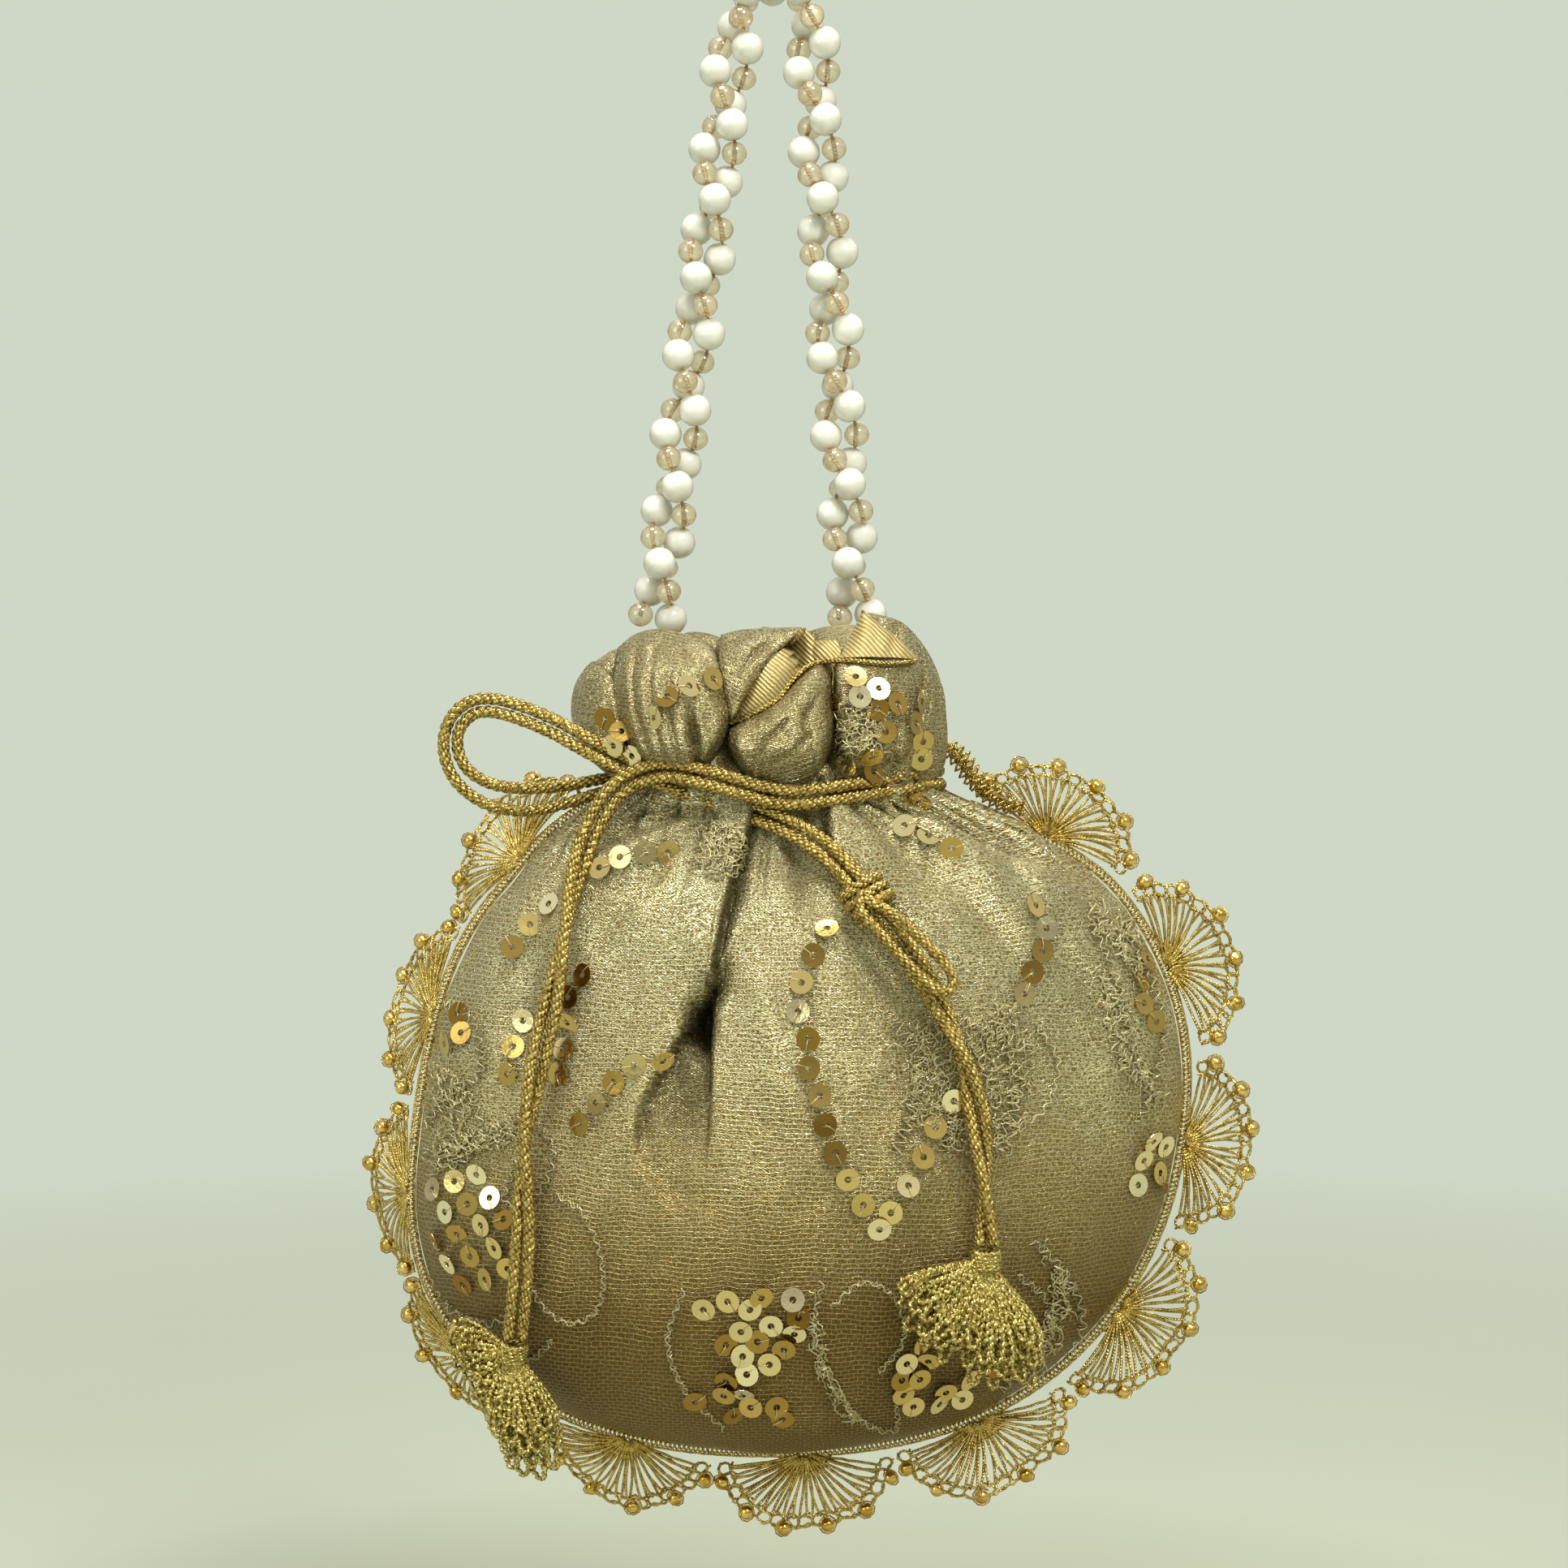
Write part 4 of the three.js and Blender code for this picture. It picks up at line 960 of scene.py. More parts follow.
def join_cloth():
    """Body, frill and front lobes as one mesh, and a tree that finds places on it."""
    points, quads, caps = [cloth_points], [cloth_quads], list(cloth_caps)
    uv, painted_shade = [cloth_uv], [cloth_painted_shade]
    count = len(cloth_points)
    for lobe in FRONT_LOBES:
        p, q, fan, place, deep = lobe_dome(*lobe)
        points.append(p)
        quads.append(q + count)
        caps += [[i + count for i in f] for f in fan]
        uv.append(place)
        painted_shade.append(deep)
        count += len(p)
    points, faces = np.vstack(points), np.vstack(quads).tolist() + caps
    obj = add_mesh("pouch_cloth", points, faces, tissue)
    set_uv(obj, np.vstack(uv))
    # the painted shade of creases, folds and tucked rims goes into a second UV layer
    deep = np.concatenate(painted_shade)
    set_uv(obj, np.stack([deep, np.zeros(len(deep))], 1), "painted_shade")
    return obj, BVHTree.FromPolygons([tuple(p) for p in points], faces)


cloth, cloth_tree = join_cloth()


def land(x, z, lift=0.0, back=False):
    """The place on the cloth that shows at (x, z), from the front or from behind, and its normal."""
    eye = Vector(EYE if not back else (EYE[0], -EYE[1], EYE[2]))
    way = (Vector((x, 0, z)) - eye).normalized()
    hit, normal, _, _ = cloth_tree.ray_cast(eye, way)
    if hit is None:
        return None, None
    if normal.dot(way) > 0:
        normal = -normal
    return np.array(hit + normal * lift), np.array(normal)


# Sequins

SEQUIN_RADIUS = 2.8
SEQUIN_HOLE = 0.82


def sequin_shape(segments=18):
    """A flat ring, slightly dished."""
    loops = [(SEQUIN_HOLE, 0.0), (SEQUIN_RADIUS, 0.05), (SEQUIN_RADIUS, -0.05), (SEQUIN_HOLE, -0.1)]
    a = TURN * np.arange(segments) / segments
    points = np.vstack([np.stack([r * np.cos(a), r * np.sin(a), np.full(segments, z)], 1) for r, z in loops])
    faces = []
    for k in range(len(loops)):
        for s in range(segments):
            t = (s + 1) % segments
            here, there = k * segments, ((k + 1) % len(loops)) * segments
            faces.append([here + s, there + s, there + t, here + t])
    return points, faces


sequins = Parts()
stitches = Tubes()
SEQUIN_POINTS, SEQUIN_FACES = sequin_shape()


def sew_sequin(x, z, back=False, tilt=11.0):
    """A sequin that leans a little, held by a stitch from its hole over its edge."""
    at, normal = land(x, z, 0.95, back)
    if at is None:
        return
    lean = unit(normal + np.tan(np.radians(tilt)) * rng.normal(size=3))
    sequins.add(turned(SEQUIN_POINTS, lean) + at, SEQUIN_FACES)
    side = unit(np.cross(lean, rng.normal(size=3)))
    a = at + lean * 0.05
    b = at + side * SEQUIN_RADIUS * 1.05 + lean * 0.15
    top = [a + lean * 0.35 + side * 0.3, (a + b) / 2 + lean * 0.4, b + lean * 0.1]
    stitches.add([a - lean * 0.3, *top, b - lean * 0.5], 0.11, 4)


# Lines of sequins (points, how many) and clusters of them, in the view.
SEQUIN_LINES = [
    ([(13.2, -229), (7.8, -240), (5.8, -248), (8.4, -254.4), (8.2, -262), (11, -269.4), (12.6, -277.2),
      (15.4, -284.6), (19, -292), (26, -302.8)], 12),
    ([(28.8, -298.6), (32.6, -292.8), (36.4, -285.8), (40.6, -275.6), (44.2, -271.2)], 5),
    ([(64.2, -223.4), (66.6, -228.4), (65.6, -234.6), (63.2, -240.2), (61.4, -245)], 5),
    ([(-46.8, -240.4), (-50.2, -245.2), (-50.4, -251.4), (-51.2, -257.6), (-52.8, -264.6)], 5),
    ([(-61.2, -251.6), (-63.8, -258), (-65.2, -264.8)], 3),
    ([(-27.6, -261.2), (-35.2, -263.2), (-40.6, -268.6), (-43.6, -272), (-47.4, -276.8)], 5),
    ([(-54.8, -223), (-58.8, -227), (-64, -233.4)], 3),
    ([(-77.2, -249.8), (-76.2, -254.2), (-80.4, -257.4)], 3),
    ([(-42.6, -214), (-38.6, -211.8), (-32.4, -210), (-25.8, -210.2)], 4),
    ([(91.4, -236.4), (90.2, -242), (90.8, -248), (93.6, -251.8)], 4),
    ([(-15.4, -167.6), (-20.4, -169), (-25.6, -171.4), (-28.8, -176.8)], 4),
    ([(-41, -177), (-37.4, -179.8), (-40.4, -182.6), (-34.2, -185.8)], 4),
    ([(32, -204), (38, -206.4), (44, -209)], 3),
]
SEQUIN_CLUSTERS = [
    # left side of the body
    [(-72.6, -289.4), (-78, -291), (-83.4, -293), (-69.4, -295), (-74.8, -296.6), (-80.4, -298.6),
     (-66, -300.2), (-71.6, -301.8),
     (-77.4, -304), (-83, -305.8), (-68.4, -307.4), (-74.2, -309.4), (-79.8, -311.2), (-65, -312.4),
     (-70.6, -315), (-76, -316.2)],
    # bottom middle, two clusters
    [(-17.2, -322.4), (-11.2, -320.4), (-5.8, -322.4), (-3, -319.6), (4.8, -320), (6.2, -324.4),
     (-0.6, -326.4), (-8, -327.8),
     (-4, -330.2), (5.2, -328.4), (-11.6, -331), (-7.6, -333.8), (2.6, -332.2), (-1, -335.8),
     (-6.6, -338.2)],
    [(-11.6, -340), (-12.2, -343.4), (-7.6, -343.4), (-5.6, -346.2), (0.8, -346.2), (-9.6, -348.2),
     (2.2, -349), (-19.2, -344.8)],
    # bottom right
    [(36.6, -330.8), (32.6, -335.6), (37.8, -335), (31.4, -339.6), (35.8, -339.4), (42.2, -342.6),
     (31.8, -343.2), (34.2, -346),
     (40.6, -345.4), (46.2, -344.2), (48, -339.6), (54, -336.4)],
    # right edge
    [(93, -281.2), (96, -282.4), (90.6, -285.8), (94.6, -288.8), (89.2, -291.8), (95.8, -291)],
    # right lobe of the frill
    [(14.8, -166.8), (20.2, -167), (25.8, -169.8), (15.2, -173.2), (21.2, -171.8), (25.6, -174.8),
     (30.2, -173.6), (34.4, -178.2),
     (35.8, -172.8), (27.2, -180.4), (36.4, -183), (18.2, -187.8), (24, -186.2), (36.4, -187),
     (24.6, -189.8), (36, -197.2)],
]


def sew_front():
    for points, count in SEQUIN_LINES:
        for x, z in spline(points, count):
            sew_sequin(x, z)
    for cluster in SEQUIN_CLUSTERS:
        for x, z in cluster:
            sew_sequin(x, z, tilt=12.0)


def sew_back():
    """The back isn't seen: it carries the same kind of lines and clusters."""
    for points, count in [
        ([(-30, -236), (-24, -252), (-22, -270), (-14, -288), (-4, -300)], 10),
        ([(28, -236), (22, -252), (20, -270), (10, -288), (-4, -300)], 10),
        ([(-66, -240), (-70, -256), (-74, -274)], 6),
        ([(66, -240), (70, -256), (72, -274)], 6),
        ([(-40, -212), (-26, -210), (-12, -214)], 5),
    ]:
        for x, z in spline(points, count):
            sew_sequin(x, z, back=True)
    for cx, cz in [(-62, -300), (60, -304), (-4, -330), (28, -342), (-36, -338)]:
        for row in range(4):
            for k in range(4 - row % 2):
                x = cx + (k - 1.5 + 0.5 * (row % 2)) * 6.0 + rng.normal() * 0.4
                z = cz + (row - 1.5) * 5.4 + rng.normal() * 0.4
                sew_sequin(x, z, back=True, tilt=12.0)


sew_front()
sew_back()
sequin_piece = sequins.make("sequins", sequin, shade_smooth=False)
sequin_tones = rng.random(len(sequins.points))
set_uv(sequin_piece, np.stack([np.repeat(sequin_tones, len(SEQUIN_POINTS)), np.zeros(sequins.count)], 1))
sequin_thread = stitches.make("sequin_stitches", silver_thread)


# Embroidery

# Satin-stitch lines in silver thread, in the view: points, the stitch's width.
STITCH_LINES = [
    # petals down the left side
    ([(-82, -247), (-74, -252), (-72, -264), (-80, -270), (-86, -278)], 2.4),
    ([(-86, -262), (-78, -266), (-72, -276), (-76, -286), (-84, -288)], 2.2),
    ([(-86, -284), (-70, -278), (-60, -276), (-54, -284), (-58, -294), (-66, -296), (-62, -284)], 1.8),
    ([(-54, -294), (-46, -300), (-42, -312), (-43, -322), (-50, -326), (-58, -320), (-62, -308)], 1.4),
    ([(-86, -312), (-80, -322), (-70, -326), (-62, -322)], 2.0),
    ([(-84, -320), (-74, -332), (-62, -336), (-54, -330)], 1.8),
    # flower near the neck
    ([(-18, -203), (-10, -204), (-7, -210), (-11, -216), (-18, -213), (-16, -206)], 1.6),
    # leaf patch on the right
    ([(30, -252), (36, -262), (34, -274), (30, -284)], 4.0),
    ([(34, -252), (44, -258), (50, -268), (48, -280)], 3.6),
    ([(40, -250), (52, -254), (60, -264), (58, -276), (50, -286)], 3.2),
    ([(38, -264), (44, -272), (42, -284)], 3.4),
    # right side curve
    ([(80, -214), (88, -224), (92, -238), (96, -254), (94, -266)], 2.0),
    ([(78, -228), (84, -240), (88, -256), (92, -270), (90, -276)], 1.8),
    ([(64, -252), (70, -262), (66, -274), (58, -278)], 1.4),
    # bottom right petals
    ([(64, -306), (72, -314), (76, -326), (70, -336), (60, -340)], 2.2),
    ([(60, -314), (68, -322), (66, -334), (56, -342)], 2.0),
    # bottom middle petals
    ([(12, -316), (10, -328), (14, -340), (22, -350), (30, -352), (30, -344)], 1.5),
    ([(14, -322), (22, -316), (30, -320), (32, -330), (26, -338)], 1.3),
    ([(-22, -318), (-26, -330), (-22, -342), (-12, -352)], 1.4),
    # frill, right lobe
    ([(17, -176), (22, -172), (27, -177), (23, -183), (18, -181), (22, -176)], 2.2),
    ([(18, -186), (26, -184), (30, -190), (24, -194)], 1.8),
]
BACK_STITCH_LINES = [
    ([(-80, -250), (-72, -258), (-74, -272), (-84, -280)], 2.2),
    ([(80, -250), (72, -258), (74, -272), (84, -280)], 2.2),
    ([(-60, -286), (-48, -280), (-40, -290), (-46, -302), (-58, -298), (-60, -288)], 1.8),
    ([(60, -286), (48, -280), (40, -290), (46, -302), (58, -298), (60, -288)], 1.8),
    ([(-12, -250), (0, -244), (10, -252), (6, -264), (-6, -266), (-12, -254)], 2.0),
    ([(-24, -318), (-12, -312), (4, -314), (18, -320)], 2.0),
]


# Patches filled with scribbled stitches: outline (x, z), the way most stitches run in degrees, and how many.
STITCH_PATCHES = [
    # leaf patch on the right
    ([(30, -257), (41, -250.6), (59.8, -248.5), (63, -255), (64, -268), (59.8, -283.6), (53, -286),
      (42.6, -281.6), (34.4, -278), (29.6, -269)], 70, 330),
    # beside the right edge
    ([(76, -222), (84, -224), (90, -232), (92, -242), (84, -236), (79, -230)], 120, 90),
    ([(80, -236), (84, -240), (86, -254), (91, -264), (98, -271), (94, -272), (86, -264), (82, -252)],
     115, 110),
    # flower near the neck
    ([(-17.4, -204), (-12, -202.6), (-7.6, -204.6), (-7.8, -211), (-10, -216), (-14.6, -216),
      (-18.4, -211)], 20, 90),
    # right lobe of the frill
    ([(16.6, -173.4), (22, -172), (27.4, -174), (27, -181), (22, -186), (17, -184)], 40, 80),
    # petals on the left, and towards the bottom
    ([(-86, -284), (-76, -280), (-66, -277.6), (-60, -279), (-66, -282), (-76, -284.6), (-84, -288)],
     10, 70),
    ([(-88, -262), (-80, -264), (-74, -272), (-76, -281), (-84, -284), (-80, -274)], 60, 60),
    ([(66, -306), (72, -312), (74, -322), (70, -332), (64, -338), (67, -326), (68, -316)], 100, 70),
    ([(9, -318), (12, -328), (15, -340), (21, -349), (17, -349), (11, -339), (8, -328)], 115, 50),
]
BACK_STITCH_PATCHES = [
    ([(-58, -262), (-48, -256), (-34, -262), (-34, -276), (-46, -286), (-58, -278)], 60, 160),
    ([(58, -262), (48, -256), (34, -262), (34, -276), (46, -286), (58, -278)], 120, 160),
]


def inside(place, outline):
    """Whether a place lies inside a closed outline."""
    crossings = 0
    for (x0, z0), (x1, z1) in zip(outline, outline[1:] + outline[:1]):
        crosses = (z0 > place[1]) != (z1 > place[1])
        if crosses and place[0] < (x1 - x0) * (place[1] - z0) / (z1 - z0) + x0:
            crossings += 1
    return crossings % 2 == 1


def sew(thread, seen, lift, radius, back):
    """Lays a stitch along places of the view, in pieces where the cloth drops away."""
    stroke = []
    for q in seen:
        at, _ = land(q[0], q[1], lift + 0.2 * rng.random(), back)
        if at is not None and (not stroke or np.linalg.norm(at - stroke[-1]) < 6):
            stroke.append(at)
        else:
            if len(stroke) > 2:
                thread.add(stroke, radius, 4)
            stroke = []
    if len(stroke) > 2:
        thread.add(stroke, radius, 4)


STITCH_PITCH = 0.5


def stitch_line(thread, points, width, back):
    """A zigzag of satin stitch along a line, with a loose line of loops over it."""
    line = spline(points, max(12, int(line_length(np.array(points, float)) * 1.06 / STITCH_PITCH)))
    way = unit(np.gradient(line, axis=0))
    across = np.stack([-way[:, 1], way[:, 0]], 1)
    swing = np.where(np.arange(len(line)) % 2, 1, -1) * rng.uniform(0.7, 1.3, len(line))
    zigzag = line + across * (width / 2 * swing)[:, None] + way * rng.normal(size=(len(line), 1)) * 0.3
    sew(thread, zigzag, 0.3, 0.17, back)
    loops = width * 0.4 * np.sin(np.arange(len(line)) * 0.9)
    sew(thread, line + across * loops[:, None], 0.5, 0.16, back)


def scribble(thread, outline, angle, count, back):
    """Short curved stitches that fill an outline, most of them near one angle."""
    low, high = np.min(outline, axis=0), np.max(outline, axis=0)
    t = np.linspace(-0.5, 0.5, 6)
    done = 0
    while done < count:
        place = rng.uniform(low, high)
        if not inside(place, outline):
            continue
        done += 1
        a = math.radians(angle) + rng.normal() * 0.55
        way = np.array([math.cos(a), math.sin(a)])
        side = np.array([-way[1], way[0]])
        length, bend = rng.uniform(1.6, 4.6), rng.normal() * 1.1
        curl = bend * (0.25 - t**2) * 4 + 0.3 * np.sin(t * 14 + rng.uniform(0, TURN))
        lift, radius = 0.28 + 0.5 * rng.random(), rng.uniform(0.14, 0.24)
        sew(thread, place + way * (t * length)[:, None] + side * curl[:, None], lift, radius, back)


def embroider(name, lines, patches, back=False):
    thread = Tubes()
    for points, width in lines:
        stitch_line(thread, points, width, back)
    for outline, angle, count in patches:
        scribble(thread, outline, angle, count, back)
    return thread.make(name, silver_thread)


front_embroidery = embroider("embroidery_front", STITCH_LINES, STITCH_PATCHES)
back_embroidery = embroider("embroidery_back", BACK_STITCH_LINES, BACK_STITCH_PATCHES, back=True)


# Handle


def handle_line(count=2400):
    """Centre of the strand pair: a leg, a half loop over the top and a leg. Gives (x, z), the direction,
    and the share down each leg."""
    ends = [np.array([HANDLE_MIDDLE + s * HANDLE_SPREAD / 2, PIVOT_Z]) for s in (-1, 1)]
    centre = np.array([0.0, LOOP_CENTRE_Z])
    touch = []
    for s, end in zip((-1, 1), ends):
        away = end - centre
        touch.append(math.atan2(away[1], away[0]) + s * math.acos(LOOP_RADIUS / np.linalg.norm(away)))
    left, right = touch
    left_point = centre + LOOP_RADIUS * np.array([math.cos(left), math.sin(left)])
    right_point = centre + LOOP_RADIUS * np.array([math.cos(right), math.sin(right)])
    left_leg, right_leg = np.linalg.norm(ends[0] - left_point), np.linalg.norm(ends[1] - right_point)
    lengths = [left_leg, LOOP_RADIUS * ((left - right) % TURN), right_leg]
    points, ways, legs = [], [], []
    for r in np.linspace(0, sum(lengths), count):
        if r < lengths[0]:
            t = r / lengths[0]
            p = ends[0] + (left_point - ends[0]) * t
            w = unit(left_point - ends[0])
            leg = -(1 - t)
        elif r <= lengths[0] + lengths[1]:
            a = left - (r - lengths[0]) / LOOP_RADIUS
            p = centre + LOOP_RADIUS * np.array([math.cos(a), math.sin(a)])
            w = np.array([math.sin(a), -math.cos(a)])
            leg = 0.0
        else:
            t = (r - lengths[0] - lengths[1]) / lengths[2]
            p = right_point + (ends[1] - right_point) * t
            w = unit(ends[1] - right_point)
            leg = t
        points.append(p)
        ways.append(w)
        legs.append(leg)
    return np.array(points), np.array(ways), np.array(legs)


def strand_path(side):
    """One strand's path: it winds round the legs' centre and lies beside its twin over the loop."""
    points, ways, legs = handle_line()
    angle = TURN * (0.25 + TWISTS_PER_LEG * legs) + (0 if side > 0 else math.pi)
    out = HELIX_RADIUS * np.cos(angle)
    x, z = points[:, 0] - out * ways[:, 1], points[:, 1] + out * ways[:, 0]
    return np.stack([x, HELIX_RADIUS * np.sin(angle), z], 1)


def bead_strand(side, name):
    """Pearls and glass beads in turn along a strand, and the thread through them."""
    line = strand_path(side)
    run = run_along(line)
    gaps = 2 * round(run[-1] / ((PEARL_DIAMETER + GLASS_DIAMETER) / 2) / 2)
    at = lambda r: np.array([np.interp(r, run, line[:, i]) for i in range(3)])
    pearls, glasses = Parts(), Parts()
    pearl_points, pearl_faces = ball(28, 18, 0.05)
    pearl_points = pearl_points * PEARL_DIAMETER / 2
    glass_points, glass_faces = ball(26, 16, 0.07)
    glass_points = glass_points * np.array([1, 1, 0.94]) * GLASS_DIAMETER / 2
    for k in range(gaps + 1):
        r = run[-1] * k / gaps
        way = unit(at(min(run[-1], r + 0.6)) - at(max(0, r - 0.6))) + rng.normal(size=3) * 0.09
        where = at(r) + rng.normal(size=3) * 0.12
        if (k % 2 == 0) == (side < 0):
            pearls.add(turned(pearl_points, way) + where, pearl_faces)
        else:
            glasses.add(turned(glass_points, way) + where, glass_faces)
    thread = Tubes()
    thread.add(resample(line, 1.2), 0.42, 6)
    a = pearls.make(f"pearls_{name}", pearl)
    b = glasses.make(f"glass_beads_{name}", glass)
    c = thread.make(f"bead_thread_{name}", bead_thread)
    for piece in (a, b, c):
        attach(piece, "handle")
    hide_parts(f"bead_strand_{name}")


bead_strand(1, "a")
bead_strand(-1, "b")


# Lace


def seam_line():
    """The seam as (x, z), from the left shoulder down, across the bottom and up to the right shoulder."""
    steps = 240
    share = np.linspace(-1, 1, steps + 1)
    angle = -0.5 * math.pi + (0.37 + 0.5) * math.pi * np.abs(share)
    z = outline_height(angle)
    middle, half_width, _ = body_section(z)
    points = np.stack([middle + np.sign(share) * half_width, z], 1)
    return points, run_along(points)


SEAM, SEAM_RUN = seam_line()
SEAM_LENGTH = SEAM_RUN[-1]


def seam_at(run):
    run = np.clip(run, 0, SEAM_LENGTH)
    return np.stack([np.interp(run, SEAM_RUN, SEAM[:, 0]), np.interp(run, SEAM_RUN, SEAM[:, 1])], -1)


def lace_place(run, reach):
    """A place at a run along the seam and a reach away from it, in the plane of the seam."""
    run, reach = np.asarray(run, float), np.asarray(reach, float)
    way = unit(seam_at(run + 6) - seam_at(run - 6))
    out = np.stack([way[..., 1], -way[..., 0]], -1)
    return seam_at(run) + out * reach[..., None]


FANS = round(SEAM_LENGTH / FAN_PITCH)
PITCH = SEAM_LENGTH / FANS
STRETCH = PITCH * 0.47 / FAN_REACH


FAN_RIBS = 18
RIM_LOOPS = 17
FAN_START = 0.06 * math.pi  # where a fan begins round its hub, short of the seam
FAN_SPREAD = math.pi - 2 * FAN_START
BAND_END = [
    (37, 0, -187), (41.5, -2, -184), (45.5, -2, -187), (49, -1, -192), (54, 0, -196.6), (60, 1, -199.6),
]


def lace_in_space(run, reach, tilt, level):
    """Puts flat lace into space: each fan leans by its tilt, and the left ones droop."""
    reach = np.asarray(reach, float)
    flat = lace_place(run, reach)
    lean = smooth(1, FAN_REACH, reach)
    y = tilt * lean + LACE_WAVE * lean * np.sin(0.21 * flat[..., 0] + 0.17 * flat[..., 1]) + level
    seam_x = seam_at(run)[..., 0]
    droop = math.radians(LACE_DROOP) * (1 - smooth(-BODY_WIDTH * 0.42, -BODY_WIDTH * 0.1, seam_x))
    free = np.maximum(0, reach - SEAT_GAP - LACE_BAND)
    flat = lace_place(run, reach - free * (1 - np.cos(droop)))
    return np.stack([flat[..., 0], y + free * np.sin(droop), flat[..., 1]], -1)


def add_ribs(threads, on_fan):
    """Two threads to each rib, from the hub to the rim."""
    for k in range(FAN_RIBS):
        angle = FAN_START + FAN_SPREAD * (k + 0.5) / FAN_RIBS
        for pair in (-1, 1):
            radii = np.linspace(1.2, FAN_REACH - 1.4, 14)
            t = radii / FAN_REACH
            curve = 0.06 * np.sin(t * math.pi * 1.5 + rng.uniform(0, 2))
            split = pair * (0.012 + 0.05 * np.sin(np.clip(t, 0, 1) * math.pi)) + rng.normal() * 0.012
            start = FAN_START + FAN_SPREAD * (0.5 + (k + 0.5 - FAN_RIBS / 2) / FAN_RIBS * 0.9)
            angles = start + (angle - start) * t + curve * 0.4 + split
            threads.add(on_fan(angles, radii, rng.normal(size=14) * 0.2 + pair * 0.34), 0.36, 5)


def add_rim(threads, on_fan, phase):
    """Small loops side by side, and wavy lines that tie them and the ribs."""
    a = TURN * np.arange(11) / 11
    for k in range(RIM_LOOPS):
        angle = FAN_START + FAN_SPREAD * (k + 0.5) / RIM_LOOPS
        angles = angle + 0.082 * np.sin(a) + rng.normal() * 0.012
        level = 0.5 * np.sin(a + rng.uniform(0, 6)) + rng.normal() * 0.2
        threads.add(on_fan(angles, FAN_REACH - 0.6 + 1.25 * np.cos(a), level), 0.34, 5, closed=True)
    beat = np.arange(46) * 1.9
    angles = np.linspace(FAN_START, math.pi - FAN_START, 46)
    for ring, wobble in ((FAN_REACH - 2.0, 0.5), (FAN_REACH + 0.5, 0.45), (5.2, 0.5)):
        threads.add(on_fan(angles, ring + wobble * np.sin(beat + phase), 0.35 * np.cos(beat)), 0.32, 5)


def add_rim_beads(threads, beads, on_fan):
    """Round beads on the rim, each held by a ring of thread."""
    bead_points, bead_faces = ball(14, 10, 0.12)
    a = TURN * np.arange(9) / 9
    circle = np.stack([np.cos(a) * 2.2, np.sin(a) * 2.2, 0 * a], 1)
    for k in range(RIM_BEADS):
        angle = FAN_START + FAN_SPREAD * (k + 0.5) / RIM_BEADS
        reach = FAN_REACH + RIM_BEAD_DIAMETER * 0.22 + rng.normal() * 0.25
        at = on_fan(angle, reach, rng.normal() * 0.5)
        way = rng.normal(size=3) + [0, -0.7, 0]
        beads.add(turned(bead_points * RIM_BEAD_DIAMETER / 2, way) + at, bead_faces)
        threads.add(at + turned(circle, rng.normal(size=3) * 0.4 + [0, -1, 0]), 0.2, 4, closed=True)


def add_seam_chain(threads):
    """The chain along the seam, as two interlaced lines of loops between two plain ones."""
    run = np.linspace(0, SEAM_LENGTH, int(SEAM_LENGTH / 0.55))
    for phase in (0, math.pi):
        wave = np.sin(run / 2.3 * TURN + phase)
        flat = lace_place(run, SEAT_GAP + LACE_BAND / 2 + 0.85 * wave)
        level = 0.5 * np.cos(run / 2.3 * TURN + phase)
        threads.add(np.stack([flat[:, 0], level, flat[:, 1]], 1), 0.3, 5)
    run = run[::3]
    for reach in (SEAT_GAP + 0.3, SEAT_GAP + LACE_BAND):
        flat = lace_place(run, np.full(len(run), reach))
        threads.add(np.stack([flat[:, 0], 0.25 * np.sin(run * 1.7), flat[:, 1]], 1), 0.28, 5)


def add_band_end(threads):
    """The chain band's end, bunched up where the seam runs into the gathered neck."""
    for k in range(7):
        line = resample(spline(np.array(BAND_END, float) + rng.normal(size=3) * [1.0, 1.8, 1.0], 60), 0.5)
        a = np.arange(len(line)) * 0.5 / 2.1 * TURN + k
        threads.add(line + np.stack([0.7 * np.cos(a), 0.8 * np.sin(a), 0.9 * np.cos(a)], 1), 0.34, 5)


def make_lace():
    threads, beads = Tubes(), Parts()
    for fan in range(FANS):
        tilt, scale, spin = rng.uniform(-2.2, 2.2), rng.uniform(0.95, 1.02), rng.uniform(-0.05, 0.05)

        def on_fan(angle, radius, level=0.0):
            angle = np.asarray(angle, float) + spin
            radius = np.asarray(radius, float) * scale
            run = (fan + 0.5) * PITCH - radius * STRETCH * np.cos(angle)
            return lace_in_space(run, SEAT_GAP + 1.2 + radius * np.sin(angle), tilt, level)

        add_ribs(threads, on_fan)
        add_rim(threads, on_fan, fan)
        add_rim_beads(threads, beads, on_fan)
    add_band_end(threads)
    add_seam_chain(threads)
    return threads.make("lace_threads", lace_gold), beads.make("lace_beads", gold_bead)


lace_threads, lace_beads = make_lace()


# Cords

